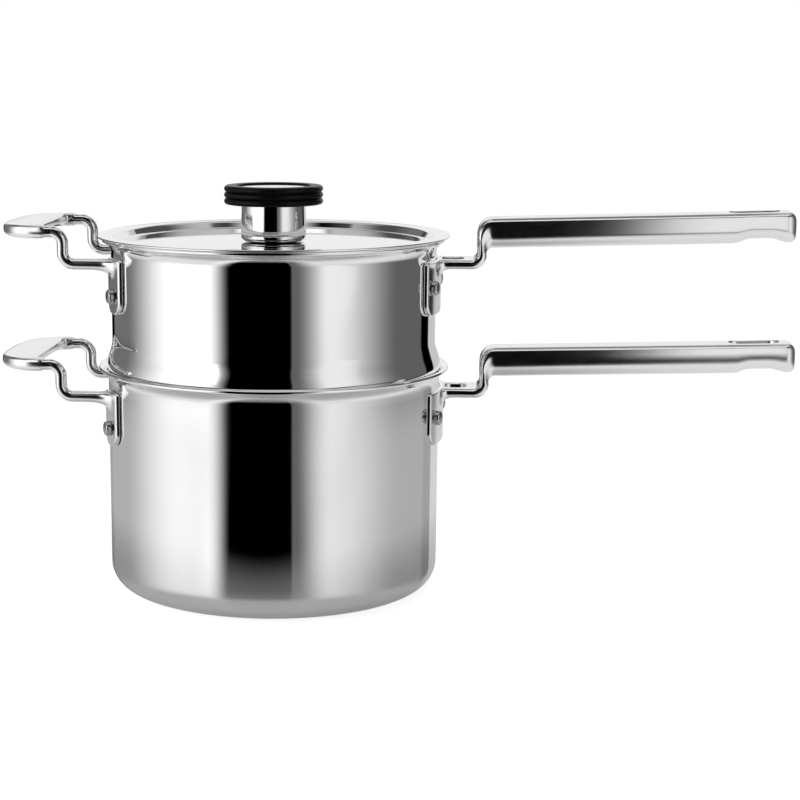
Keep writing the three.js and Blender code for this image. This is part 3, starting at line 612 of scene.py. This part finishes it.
def slot_cutter(start_x, length, width, corner, levels, slope):
    """A cutter with a rounded rectangular outline. Levels are (height, how much wider), bottom first."""
    corner = min(corner, (min(length, width) - SLOT_FLAT) / 2)
    middle_x = start_x + length / 2
    half_x = length / 2 - corner
    half_y = width / 2 - corner
    centres = ((half_x, half_y), (-half_x, half_y), (-half_x, -half_y), (half_x, -half_y))
    rings = []
    for height, wider in levels:
        ring = []
        for quarter, (x, y) in enumerate(centres):
            for px, py in arc(x, y, corner + wider, quarter * QUARTER, (quarter + 1) * QUARTER):
                ring.append((middle_x + px, py, height + slope * px))
        rings.append(ring)
    return lofted("cutter", rings)


def long_handle(vessel):
    pairs = [*long_handle_pairs(), *rod_pairs()]
    handle = lofted(f"{vessel.name}_long_handle_skin", section_rings(vessel, pairs, 0, ROD_EXPONENTS))
    riveted = plate(vessel, LONG_PLATE_BOTTOM, BRIDGE_DROP + PLATE_STEP, LONG_PLATE_WIDTH, 0)
    combine(handle, [riveted], "UNION")
    bridge_top = vessel.rim - BRIDGE_DROP
    bridge_bottom = bridge_top - BRIDGE_THICKNESS
    bridge_slot = slot_cutter(
        vessel.radius + BRIDGE_SLOT_START, BRIDGE_SLOT_LENGTH, BRIDGE_SLOT_WIDTH, BRIDGE_SLOT_CORNER,
        [
            (bridge_bottom - SLOT_CHAMFER, 2 * SLOT_CHAMFER), (bridge_bottom + SLOT_CHAMFER, 0),
            (bridge_top - SLOT_CHAMFER, 0), (bridge_top + SLOT_CHAMFER, 2 * SLOT_CHAMFER),
        ],
        0,
    )
    slot_out = LONG_REACH - HANG_SLOT_END - HANG_SLOT_LENGTH
    top = vessel.rim + rod_pair(slot_out + HANG_SLOT_LENGTH / 2).upper[1]
    hang_slot = slot_cutter(
        vessel.radius + slot_out, HANG_SLOT_LENGTH, HANG_SLOT_WIDTH, HANG_SLOT_WIDTH / 2,
        [
            (top - 2 * ROD_HEIGHT, 0), (top - SLOT_CHAMFER, 0), (top + SLOT_CHAMFER, 2 * SLOT_CHAMFER),
        ],
        ROD_SLOPE,
    )
    return carve(handle, [bridge_slot, hang_slot])


leg_middle = (LOOP_WIDTH + LOOP_GAP_WIDTH) / 4


def leg_pairs():
    half = LEG_THICKNESS / 2
    low_bend = (LEG_OFFSET - LEG_BEND, LEG_BEND - LEG_DROP)
    high_bend = (LEG_OFFSET + LEG_BEND, PADDLE_RISE - LEG_BEND)
    bar = ((LEG_WIDTH, LEG_WIDTH), (0, 0), (1, 1))
    lower = pair_up(
        arc(*low_bend, LEG_BEND - half, -QUARTER, 0),
        arc(*low_bend, LEG_BEND + half, -QUARTER, 0),
        *bar,
    )
    upper = pair_up(
        arc(*high_bend, LEG_BEND + half, math.pi, QUARTER),
        arc(*high_bend, LEG_BEND - half, math.pi, QUARTER),
        *bar,
    )
    root = arm_root(half - LEG_DROP, -half - LEG_DROP, LEG_WIDTH, 1, lower[0].upper[0])
    level = run(root[-1], lower[0], BEND_STEPS // 2)
    upright = run(lower[-1], upper[0], 2)
    return [*root, *level, *lower, *upright, *upper]


def paddle_rings(vessel):
    """Half of the paddle, from the leg to the middle."""
    start = vessel.radius + LEG_OFFSET + PADDLE_START * LEG_BEND
    outer_depth = vessel.radius + LOOP_REACH - start
    inner_depth = outer_depth - PADDLE_DEPTH
    rings = []
    for i in range(PADDLE_STEPS + 1):
        angle = QUARTER * (i / PADDLE_STEPS) ** 2
        ends = []
        for depth, width, exponent in (
            (inner_depth, LOOP_GAP_WIDTH, PADDLE_GAP_ROUNDNESS),
            (outer_depth, LOOP_WIDTH, PADDLE_ROUNDNESS),
        ):
            ends.append((
                start + depth * math.sin(angle) ** (2 / exponent),
                width / 2 * max(0, math.cos(angle)) ** (2 / exponent),
            ))
        half_width = math.dist(*ends) / 2
        grown = smooth(i / PADDLE_STEPS / PADDLE_GROWN)
        half_height = mix(LEG_THICKNESS, PADDLE_THICKNESS, grown) / 2
        exponents = [mix(a, b, grown) for a, b in zip(LEG_EXPONENTS, PADDLE_EXPONENTS)]
        ring = []
        for across, along in section(half_width, half_height, 0, exponents, 1):
            share = (1 + across / half_width) / 2
            ring.append((
                mix(ends[0][0], ends[1][0], share),
                mix(ends[0][1], ends[1][1], share),
                vessel.rim + PADDLE_RISE + along,
            ))
        rings.append(ring)
    return rings


def helper_handle(vessel):
    leg = section_rings(vessel, leg_pairs(), leg_middle, LEG_EXPONENTS)
    half = [*leg, *paddle_rings(vessel)]
    other_half = [[(x, -y, z) for x, y, z in ring] for ring in reversed(half)]
    handle = lofted(f"{vessel.name}_helper_handle_skin", [*half, *other_half[1:]])
    foot_top = LEG_DROP - LEG_THICKNESS / 2 + PLATE_STEP
    feet = [plate(vessel, FOOT_BOTTOM, foot_top, FOOT_WIDTH, sign * leg_middle) for sign in (-1, 1)]
    combine(handle, feet, "UNION")
    turn = Matrix.Translation((0, 0, -vessel.loop_drop * MM)) @ Matrix.Rotation(math.pi, 4, "Z")
    handle.data.transform(turn)
    return handle


def rivet(name, vessel, drop, sideways, far_side):
    """A rivet through the wall: a flat head inside, a button head on the plate."""
    fall = drop + far_side * vessel.loop_drop
    wall = wall_radius(vessel, vessel.rim - drop)
    inner_base = math.sqrt((wall - vessel.wall) ** 2 - RIVET_INNER_RADIUS ** 2) - SEAT_GAP
    inner_top = inner_base - RIVET_INNER_HEIGHT
    outer_base = wall + PLATE_THICKNESS + 2 * SEAT_GAP
    outer_top = outer_base + RIVET_HEAD_HEIGHT
    inner_edge = (RIVET_INNER_RADIUS - RIVET_INNER_EDGE, inner_top + RIVET_INNER_EDGE)
    head_edge = (RIVET_HEAD_RADIUS - RIVET_HEAD_EDGE, outer_top - RIVET_CROWN - RIVET_HEAD_EDGE)
    crown_radius, crown_left = CROWN_POINT
    made = turned(name, [
        (0, inner_top),
        *arc(*inner_edge, RIVET_INNER_EDGE, -QUARTER, 0, EDGE_STEPS),
        (RIVET_INNER_RADIUS, inner_base),
        (RIVET_RADIUS, inner_base),
        (RIVET_RADIUS, outer_base),
        (RIVET_HEAD_RADIUS, outer_base),
        *arc(*head_edge, RIVET_HEAD_EDGE, 0, RIVET_EDGE_TURN, HEAD_STEPS),
        (RIVET_HEAD_RADIUS * crown_radius, outer_top - RIVET_CROWN * crown_left),
        (0, outer_top),
    ], SMALL_SIDES)
    angle = math.asin(sideways / wall) + math.pi * far_side
    lie = Matrix.Rotation(angle, 4, "Z") @ Matrix.Translation((0, 0, (vessel.rim - fall) * MM))
    made.data.transform(lie @ Matrix.Rotation(QUARTER, 4, "Y"))
    return made


# Lid and knob

lid_radius = max(radius for radius, _ in rim_profile(STEAMER)) + LID_OVERHANG
lid_under = STEAMER.rim + SEAT_GAP
lid_top = lid_under + LID_SHEET
disc_top = lid_top - LID_RECESS
screw_hole = SCREW_RADIUS + SCREW_PLAY
cup_bottom = disc_top + SEAT_GAP
ring_bottom = cup_bottom + STEM_HEIGHT
flange_under = ring_bottom + FLANGE_HEIGHT
flange_top = flange_under + FLANGE_THICKNESS
ring_top = ring_bottom + GRIP_RIBS * GRIP_RIB_PITCH
seal_top = disc_top + SEAT_GAP + SEAL_THICKNESS
cap_top = ring_top - CAP_SINK
cap_radius = STEM_RADIUS + CAP_OVERLAP
washer_top = disc_top - LID_SHEET - SEAT_GAP
washer_bottom = washer_top - WASHER_THICKNESS


def closed(profile):
    return [*profile, profile[0]]


def lid_dish():
    recess = lid_radius - LID_RIM_WIDTH
    disc = recess - LID_RECESS_SLOPE
    turn = QUARTER - math.atan2(LID_RECESS_SLOPE, LID_RECESS)
    half = LID_SHEET / 2
    outer_bend = LID_BEND + LID_SHEET
    low = (disc, disc_top + LID_BEND)
    high = (recess + LID_BEND, lid_under - LID_BEND)
    return turned("lid_dish_skin", closed([
        (screw_hole, disc_top - LID_SHEET),
        *arc(*low, outer_bend, -QUARTER, turn - QUARTER),
        *arc(*high, LID_BEND, QUARTER + turn, QUARTER),
        *arc(lid_radius - half, lid_under + half, half, -QUARTER, QUARTER),
        *arc(*high, outer_bend, QUARTER, QUARTER + turn),
        *arc(*low, LID_BEND, turn - QUARTER, -QUARTER),
        (screw_hole, disc_top),
    ]), VESSEL_SIDES)


def knob_cup():
    bore = STEM_RADIUS - CUP_WALL
    recess = SEAL_RADIUS + SEAT_GAP
    floor = cup_bottom + CUP_FLOOR
    foot = STEM_RADIUS + STEM_TAPER
    return turned("knob_cup_skin", closed([
        (screw_hole, seal_top + SEAT_GAP),
        (recess, seal_top + SEAT_GAP),
        (recess, cup_bottom),
        *arc(foot - STEM_CORNER, cup_bottom + STEM_CORNER, STEM_CORNER, -QUARTER, 0),
        (STEM_RADIUS - STEM_TAPER, flange_under),
        (FLANGE_RADIUS, flange_under),
        (FLANGE_RADIUS, flange_top),
        (bore, flange_top),
        (bore, floor),
        (BOSS_RADIUS, floor),
        (BOSS_RADIUS, cup_bottom + BOSS_HEIGHT),
        (screw_hole, cup_bottom + BOSS_HEIGHT),
    ]), KNOB_SIDES)


def knob_grip_ring():
    low_bore = STEM_RADIUS + SEAT_GAP
    high_bore = cap_radius + SEAT_GAP
    middle = GRIP_RADIUS - GRIP_RIB_RADIUS
    apart = (ring_top - ring_bottom - 2 * GRIP_RIB_RADIUS) / (GRIP_RIBS - 1)
    meet = math.asin(apart / 2 / GRIP_RIB_RADIUS)
    ribs = []
    for rib in range(GRIP_RIBS):
        start = -meet if rib else -QUARTER
        end = meet if rib < GRIP_RIBS - 1 else QUARTER
        ribs += arc(middle, ring_bottom + GRIP_RIB_RADIUS + rib * apart, GRIP_RIB_RADIUS, start, end)
    return turned("knob_grip_ring_skin", closed([
        (low_bore, ring_bottom),
        *ribs,
        *arc(high_bore + GRIP_EDGE, ring_top - GRIP_EDGE, GRIP_EDGE, QUARTER, math.pi, EDGE_STEPS),
        (high_bore, flange_top + SEAT_GAP),
        (FLANGE_RADIUS + SEAT_GAP, flange_top + SEAT_GAP),
        (FLANGE_RADIUS + SEAT_GAP, flange_under - SEAT_GAP),
        (low_bore, flange_under - SEAT_GAP),
    ]), KNOB_SIDES)


def knob_cap():
    collar = STEM_RADIUS - CUP_WALL - SEAT_GAP
    seat = flange_top + SEAT_GAP
    return turned("knob_cap_skin", [
        (0, seat),
        (collar - CUP_WALL, seat),
        (collar - CUP_WALL, seat - CAP_PLUG),
        (collar, seat - CAP_PLUG),
        (collar, seat),
        (cap_radius, seat),
        *arc(cap_radius - CAP_EDGE, cap_top - CAP_EDGE, CAP_EDGE, 0, QUARTER, EDGE_STEPS),
        (0, cap_top),
    ], KNOB_SIDES)


def flat_ring(name, outer, bottom, top):
    edge = 0.25
    return turned(name, closed([
        (screw_hole, bottom),
        *arc(outer - edge, bottom + edge, edge, -QUARTER, 0, RING_EDGE_STEPS),
        *arc(outer - edge, top - edge, edge, 0, QUARTER, RING_EDGE_STEPS),
        (screw_hole, top),
    ]), SMALL_SIDES)


def box_cutter(size_x, size_y, bottom, top):
    corners = ((size_x, size_y), (-size_x, size_y), (-size_x, -size_y), (size_x, -size_y))
    return lofted("cutter", [[(x / 2, y / 2, height) for x, y in corners] for height in (bottom, top)])


def knob_screw():
    head_top = washer_bottom - SEAT_GAP
    head_bottom = head_top - SCREW_HEAD_HEIGHT
    edge = (SCREW_HEAD_RADIUS - SCREW_HEAD_EDGE, head_bottom + SCREW_HEAD_EDGE)
    screw = turned("knob_screw_skin", [
        (0, head_bottom),
        *arc(*edge, SCREW_HEAD_EDGE, -QUARTER, 0, EDGE_STEPS),
        (SCREW_HEAD_RADIUS, head_top),
        (SCREW_RADIUS, head_top),
        (SCREW_RADIUS, head_top + SCREW_LENGTH),
        (0, head_top + SCREW_LENGTH),
    ], SMALL_SIDES)
    length, width, depth = SCREW_CROSS
    bottom = head_bottom - CUT_PAST
    return carve(screw, [
        box_cutter(length, width, bottom, head_bottom + depth),
        box_cutter(width, length, bottom, head_bottom + depth),
    ])


# Finishes

NOISE_SPAN = (0.3, 0.7)          # where most noise values lie
PATCH_NOISE = (14, 4)            # scale and detail
FINE_NOISE = (160, 2)


def new_tree(owner):
    owner.use_nodes = True
    tree = owner.node_tree
    tree.nodes.clear()
    return tree


def add(tree, kind, values=None, links=None, **settings):
    """Adds a node, sets its properties and inputs, and links outputs of other nodes into it."""
    node = tree.nodes.new(kind)
    for key, value in settings.items():
        setattr(node, key, value)
    for key, value in (values or {}).items():
        node.inputs[key].default_value = value
    for key, output in (links or {}).items():
        tree.links.new(output, node.inputs[key])
    return node


def noise(tree, place, scale, detail, stretch=(1, 1, 1)):
    mapped = add(tree, "ShaderNodeMapping", {"Scale": stretch}, {"Vector": place})
    made = add(
        tree, "ShaderNodeTexNoise",
        {"Scale": scale, "Detail": detail, "Roughness": 0.55},
        {"Vector": mapped.outputs["Vector"]},
    )
    return made.outputs["Fac"]


def ranged(tree, value, low, high, span=NOISE_SPAN):
    start, end = span
    made = add(
        tree, "ShaderNodeMapRange",
        {"From Min": start, "From Max": end, "To Min": low, "To Max": high}, {"Value": value},
    )
    return made.outputs["Result"]


def toned(tree, value, dark, light):
    """A colour between two tones, by a noise value."""
    ramp = add(tree, "ShaderNodeValToRGB", links={"Fac": value})
    for stop, position, tone in zip(ramp.color_ramp.elements, NOISE_SPAN, (dark, light)):
        stop.position = position
        stop.color = (*tone, 1)
    return ramp.outputs["Color"]


def finish(name, tones, roughness, metallic, streaks, wave, grain, specular=0.5):
    """A finish whose tone and gloss vary a little. Wave and grain are (scale, depth in metres) of bumps."""
    material = bpy.data.materials.new(name)
    tree = new_tree(material)
    place = add(tree, "ShaderNodeTexCoord").outputs["Object"]
    patches = noise(tree, place, *PATCH_NOISE, streaks)
    fine = noise(tree, place, *FINE_NOISE, streaks)
    blended = add(tree, "ShaderNodeMath", {0: 0.5}, {1: fine}, operation="MULTIPLY_ADD")
    tree.links.new(ranged(tree, patches, 0, 0.5, (0, 1)), blended.inputs[2])
    waves = add(
        tree, "ShaderNodeBump", {"Strength": 1, "Distance": wave[1]},
        {"Height": noise(tree, place, wave[0], 1)},
    )
    grains = add(
        tree, "ShaderNodeBump", {"Strength": 1, "Distance": grain[1]},
        {"Height": noise(tree, place, grain[0], 2, streaks), "Normal": waves.outputs["Normal"]},
    )
    shader = add(
        tree, "ShaderNodeBsdfPrincipled", {"Metallic": metallic, "Specular IOR Level": specular},
        {
            "Base Color": toned(tree, patches, *tones),
            "Roughness": ranged(tree, blended.outputs["Value"], *roughness),
            "Normal": grains.outputs["Normal"],
        },
    )
    add(tree, "ShaderNodeOutputMaterial", links={"Surface": shader.outputs["BSDF"]})
    return material


def grey(level):
    return (level, level, level)


FINISHES = {
    "polished_steel": finish(
        "polished_steel", tones=(grey(0.86), grey(0.9)), roughness=(0.03, 0.06), metallic=1,
        streaks=(1, 1, 0.35), wave=(9, 0.00012), grain=(220, 2e-7),
    ),
    "cast_steel": finish(
        "cast_steel", tones=(grey(0.84), grey(0.9)), roughness=(0.13, 0.18), metallic=1,
        streaks=(0.5, 1, 1), wave=(60, 0.00001), grain=(420, 4e-7),
    ),
    "rivet_steel": finish(
        "rivet_steel", tones=(grey(0.46), grey(0.56)), roughness=(0.18, 0.26), metallic=1,
        streaks=(1, 1, 1), wave=(120, 0.00002), grain=(900, 2e-6),
    ),
    "silicone": finish(
        "silicone", tones=(grey(0.003), grey(0.005)), roughness=(0.3, 0.4), metallic=0,
        streaks=(1, 1, 1), wave=(80, 0.00001), grain=(1400, 2e-6), specular=0.16,
    ),
}


# Pieces

def pieces():
    """Each CAD node's name with the piece that stands for it."""
    made = {
        "pot_body": pot_body(),
        "steamer_body": steamer_body(),
        "lid_dish": lid_dish(),
        "knob_cup": knob_cup(),
        "knob_cap": knob_cap(),
        "knob_grip_ring": knob_grip_ring(),
        "knob_seal": flat_ring("knob_seal_skin", SEAL_RADIUS, disc_top + SEAT_GAP, seal_top),
        "knob_washer": flat_ring("knob_washer_skin", WASHER_RADIUS, washer_bottom, washer_top),
        "knob_screw": knob_screw(),
    }
    for vessel in (POT, STEAMER):
        made[f"{vessel.name}_long_handle"] = long_handle(vessel)
        made[f"{vessel.name}_helper_handle"] = helper_handle(vessel)
        for place, sign in (("front", -1), ("rear", 1)):
            long_name = f"{vessel.name}_long_rivet_{place}"
            made[long_name] = rivet(
                f"{long_name}_skin", vessel, LONG_RIVET_DROP, sign * LONG_RIVET_OFFSET, False,
            )
            loop_name = f"{vessel.name}_helper_rivet_{place}"
            made[loop_name] = rivet(f"{loop_name}_skin", vessel, LOOP_RIVET_DROP, -sign * leg_middle, True)
    return made


record = frame["record"]
slot_of = {row["node"]: row["material_slot"] for row in record["subparts"]}
body_of = {node: body for body, nodes in record["behaviour"]["bodies"].items() for node in nodes}
for node, piece in pieces().items():
    piece.data.materials.clear()
    piece.data.materials.append(FINISHES[slot_of[node]])
    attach(piece, body_of[node])
    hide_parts(node)
    # In the photo the steamer's wall doesn't mirror the handle below it
    piece.visible_glossy = node != "pot_long_handle"
for node, obj in frame["nodes"].items():
    obj.data.materials.clear()
    obj.data.materials.append(FINISHES[slot_of[node]])


# Studio. Azimuths are in degrees from the viewer's side, to the right. A pair of values is where a fade
# starts and ends. X, y and z are those of the direction in the world, and of the place on the floor.

VIEW_AZIMUTH = 6.5
LEFT_BOX_INNER = (-30.5, -48)
LEFT_BOX_OUTER = (-68, -126)
LEFT_GAP = (-158, -153)
RIGHT_BOX_STEP = (11.5, 13)
RIGHT_BOX_INNER = (15, 42)
RIGHT_BOX_OUTER = (34, 98)
RIGHT_GAP = (126, 129)
RIGHT_GLEAM = (141, 143)
LEFT_LEVEL = 1.3
RIGHT_LEVEL = 0.95
FILL_LEVEL = 0.13                # what is left of the light beside the boxes
GLEAM_LEVEL = 0.6
BACKDROP_SIDE = (20, 28)         # its edges, to both sides of straight behind
BACKDROP_FOOT_Z = (-0.01, 0.05)
BACKDROP_HEAD_Z = (0.5, 0.9)
BACKDROP_LEVEL = 0.9
SIDES_HEAD_Z = (0.4, 0.75)       # of the boxes to the left and right
STRIP_REAR_Y = (-0.14, -0.06)    # strip overhead
STRIP_FOOT_Z = (0.88, 0.94)
STRIP_LEVEL = 1.1
WING_X = (0.08, 0.14)            # to the left and right behind the strip
WING_FRONT_Y = (-0.12, -0.06)
WING_FOOT_Z = (0.66, 0.82)
WING_LEVEL = 0.4
ROOM_FRONT_Y = (-0.3, 0)         # dim room behind, above the horizon
ROOM_FOOT_Z = (0.1, 0.3)
ROOM_LEVEL = 0.08
CEILING_FOOT_Z = (0.75, 0.95)
CEILING_LEVEL = 0.12             # added to the room overhead


def faded(tree, value, start, end, low=0.0, high=1.0):
    made = add(
        tree, "ShaderNodeMapRange",
        {"From Min": start, "From Max": end, "To Min": low, "To Max": high}, {"Value": value},
        interpolation_type="SMOOTHSTEP",
    )
    return made.outputs["Result"]


def maths(tree, operation, *values):
    made = add(tree, "ShaderNodeMath", operation=operation)
    for i, value in enumerate(values):
        if isinstance(value, (int, float)):
            made.inputs[i].default_value = value
        else:
            tree.links.new(value, made.inputs[i])
    return made.outputs["Value"]


def product(tree, *values):
    result = values[0]
    for value in values[1:]:
        result = maths(tree, "MULTIPLY", result, value)
    return result


def rising(tree, value, edges, low, high):
    """Fades from low to high as the value passes from one edge to the other, upward or downward."""
    start, end = edges
    if start > end:
        start, end, low, high = end, start, high, low
    return faded(tree, value, start, end, low, high)


def angle_fade(tree, azimuth, edges, low=0.0, high=1.0):
    return rising(tree, azimuth, [math.radians(edge + VIEW_AZIMUTH) for edge in edges], low, high)


def sheet(name, corners):
    """A single face of the studio, and the node tree of its material."""
    made = new_object(name, [[value / MM for value in corner] for corner in corners], [(0, 1, 2, 3)])
    material = bpy.data.materials.new(name)
    made.data.materials.append(material)
    return made, new_tree(material)


def show(tree, shown, shader):
    """Ends a studio material: the shader where shown is 1, and see-through where it is 0."""
    clear = add(tree, "ShaderNodeBsdfTransparent").outputs["BSDF"]
    both = add(tree, "ShaderNodeMixShader", links={0: shown, 1: clear, 2: shader})
    add(tree, "ShaderNodeOutputMaterial", links={"Surface": both.outputs["Shader"]})


def studio_world():
    """Soft boxes on both sides, a white backdrop, a strip with wings overhead, and a dim room behind."""
    world = bpy.data.worlds.new("studio")
    bpy.context.scene.world = world
    tree = new_tree(world)
    direction = add(tree, "ShaderNodeTexCoord").outputs["Generated"]
    split = add(tree, "ShaderNodeSeparateXYZ", links={"Vector": direction})
    x, y, z = (split.outputs[axis] for axis in "XYZ")
    azimuth = maths(tree, "ARCTAN2", x, maths(tree, "MULTIPLY", y, -1))
    left = product(
        tree,
        angle_fade(tree, azimuth, LEFT_BOX_INNER, 0, LEFT_LEVEL),
        angle_fade(tree, azimuth, LEFT_BOX_OUTER, 1, FILL_LEVEL),
        angle_fade(tree, azimuth, LEFT_GAP),
    )
    right = product(
        tree,
        angle_fade(tree, azimuth, RIGHT_BOX_INNER, FILL_LEVEL, RIGHT_LEVEL),
        angle_fade(tree, azimuth, RIGHT_BOX_OUTER, 1, FILL_LEVEL),
        angle_fade(tree, azimuth, RIGHT_BOX_STEP),
        angle_fade(tree, azimuth, RIGHT_GAP, 1, 0),
    )
    gleam = angle_fade(tree, azimuth, RIGHT_GLEAM, 0, GLEAM_LEVEL)
    sides = maths(tree, "ADD", maths(tree, "ADD", left, right), gleam)
    sides = maths(tree, "MULTIPLY", sides, faded(tree, z, *SIDES_HEAD_Z, 1, 0))
    aside = maths(tree, "ABSOLUTE", maths(tree, "ARCTAN2", x, y))
    side_start, side_end = (math.radians(edge) for edge in BACKDROP_SIDE)
    behind = product(
        tree, faded(tree, aside, side_start, side_end, 1, 0), faded(tree, z, *BACKDROP_FOOT_Z),
        faded(tree, z, *BACKDROP_HEAD_Z, 1, 0),
    )
    wings = product(
        tree, faded(tree, maths(tree, "ABSOLUTE", x), *WING_X), faded(tree, y, *WING_FRONT_Y),
        faded(tree, z, *WING_FOOT_Z, 0, WING_LEVEL),
    )
    strip = product(
        tree, faded(tree, y, *STRIP_REAR_Y, 1, 0), faded(tree, z, *STRIP_FOOT_Z, 0, STRIP_LEVEL),
    )
    overhead = maths(tree, "MAXIMUM", wings, strip)
    room = maths(
        tree, "ADD",
        faded(tree, z, *ROOM_FOOT_Z, 0, ROOM_LEVEL), faded(tree, z, *CEILING_FOOT_Z, 0, CEILING_LEVEL),
    )
    room = maths(tree, "MULTIPLY", room, faded(tree, y, *ROOM_FRONT_Y))
    level = add(
        tree, "ShaderNodeMix", {"B": BACKDROP_LEVEL}, {"Factor": behind, "A": sides}, data_type="FLOAT",
    ).outputs["Result"]
    level = maths(tree, "ADD", maths(tree, "MAXIMUM", level, room), overhead)
    camera = add(tree, "ShaderNodeLightPath").outputs["Is Camera Ray"]
    shown = add(
        tree, "ShaderNodeMix", {"B": 1.0}, {"Factor": camera, "A": level}, data_type="FLOAT",
    ).outputs["Result"]
    background = add(tree, "ShaderNodeBackground", {"Color": (1, 1, 1, 1)}, {"Strength": shown})
    add(tree, "ShaderNodeOutputWorld", links={"Surface": background.outputs["Background"]})


FLOOR_SIZE = 4
FLOOR_DROP = 0.0002
TABLE_REACH = (0.5, 1.0)         # the table fades out of the reflections, to all sides
TABLE_FRONT_Y = (-0.24, -0.08)   # and sooner in front of the pot, between these azimuths
DARK_WEDGE = ((-46, -26), (12, 38))
TABLE_SLANT = (0.45, 0.75)       # and in part where a reflection meets it at a slant
SLANT_SHARE = 0.5
# The lower glow close to the pot is painted shade around its foot, seen in the reflections
TABLE_GLOW = (0.12, 0.44)        # of its reflection, close to the pot and away from it
GLOW_REACH = (0.13, 0.26)        # where the one becomes the other, away from the middle
FLOOR_NOISE = (30, 3)            # scale and detail
FLOOR_TONES = (grey(0.8), grey(0.82))
FLOOR_GLOW = 0.76                # towards the camera


def floor():
    half = FLOOR_SIZE / 2
    outline = ((-half, -half), (half, -half), (half, half), (-half, half))
    plane, tree = sheet("floor", [(x, y, -FLOOR_DROP) for x, y in outline])
    place = add(tree, "ShaderNodeNewGeometry").outputs["Position"]
    split = add(tree, "ShaderNodeSeparateXYZ", links={"Vector": place})
    x, y = split.outputs["X"], split.outputs["Y"]
    path = add(tree, "ShaderNodeLightPath")
    azimuth = maths(tree, "ARCTAN2", x, maths(tree, "MULTIPLY", y, -1))
    wedge = maths(
        tree, "MULTIPLY",
        angle_fade(tree, azimuth, DARK_WEDGE[0]), angle_fade(tree, azimuth, DARK_WEDGE[1], 1, 0),
    )
    front = maths(tree, "SUBTRACT", 1, maths(tree, "MULTIPLY", wedge, faded(tree, y, *TABLE_FRONT_Y, 1, 0)))
    far = add(tree, "ShaderNodeVectorMath", links={0: place}, operation="LENGTH").outputs["Value"]
    facing = add(tree, "ShaderNodeLayerWeight", {"Blend": 0.5}).outputs["Facing"]
    table = product(
        tree, front, faded(tree, far, *TABLE_REACH, 1, 0),
        faded(tree, facing, *TABLE_SLANT, 1, SLANT_SHARE),
    )
    shown = maths(tree, "MAXIMUM", table, maths(tree, "SUBTRACT", 1, path.outputs["Is Glossy Ray"]))
    tone = toned(tree, noise(tree, place, *FLOOR_NOISE), *FLOOR_TONES)
    matt = add(tree, "ShaderNodeBsdfDiffuse", links={"Color": tone})
    # Glossy rays see the floor glow less close to the pot: painted shade around its foot in the metal's
    # reflections
    glow = maths(
        tree, "ADD",
        maths(tree, "MULTIPLY", path.outputs["Is Camera Ray"], FLOOR_GLOW),
        maths(tree, "MULTIPLY", path.outputs["Is Glossy Ray"], faded(tree, far, *GLOW_REACH, *TABLE_GLOW)),
    )
    light = add(tree, "ShaderNodeEmission", {"Color": (1, 1, 1, 1)}, {"Strength": glow})
    lit = add(tree, "ShaderNodeAddShader", links={0: matt.outputs["BSDF"], 1: light.outputs["Emission"]})
    show(tree, shown, lit.outputs["Shader"])


# Soft boxes out of the camera's sight. Each stands in a plane of one y, and fades in and out along x at near
# and far, and along z at foot and head.
SoftBox = namedtuple("SoftBox", "name y near far foot head level")
SOFT_BOXES = (
    SoftBox("soft_box_right", -0.3, (0.18, 0.27), (0.25, 0.75), (0.085, 0.125), (0.5, 0.7), 0.92),
    SoftBox("soft_box_left", -0.4, (-0.2, -0.24), (-0.4, -0.6), (0.15, 0.18), (0.4, 0.6), LEFT_LEVEL),
)


def soft_box(spec):
    left, right = sorted((spec.near[0], spec.far[1]))
    foot, head = spec.foot[0], spec.head[1]
    outline = ((left, foot), (right, foot), (right, head), (left, head))
    box, tree = sheet(spec.name, [(x, spec.y, z) for x, z in outline])
    place = add(tree, "ShaderNodeNewGeometry").outputs["Position"]
    split = add(tree, "ShaderNodeSeparateXYZ", links={"Vector": place})
    x, z = split.outputs["X"], split.outputs["Z"]
    shown = product(
        tree, rising(tree, x, spec.near, 0, 1), rising(tree, x, spec.far, 1, 0),
        rising(tree, z, spec.foot, 0, 1), rising(tree, z, spec.head, 1, 0),
    )
    light = add(tree, "ShaderNodeEmission", {"Color": (1, 1, 1, 1), "Strength": spec.level})
    show(tree, shown, light.outputs["Emission"])
    box.visible_camera = False


CAMERA_PLACE = (0.1263, -1.1021, 0.2977)
CAMERA_TURN = math.radians(6.2)
CAMERA_PITCH = 0.1725
CAMERA_LENS = 90
CAMERA_SHIFT = 0.1432


def camera():
    data = bpy.data.cameras.new("camera")
    data.lens = CAMERA_LENS
    data.shift_x = CAMERA_SHIFT
    obj = bpy.data.objects.new("camera", data)
    bpy.context.scene.collection.objects.link(obj)
    aim = Vector((
        -math.sin(CAMERA_TURN) * math.cos(CAMERA_PITCH),
        math.cos(CAMERA_TURN) * math.cos(CAMERA_PITCH),
        -math.sin(CAMERA_PITCH),
    ))
    obj.location = CAMERA_PLACE
    obj.rotation_euler = aim.to_track_quat("-Z", "Y").to_euler()
    bpy.context.scene.camera = obj


studio_world()
floor()
for spec in SOFT_BOXES:
    soft_box(spec)
camera()
bpy.context.scene.view_settings.view_transform = "Standard"
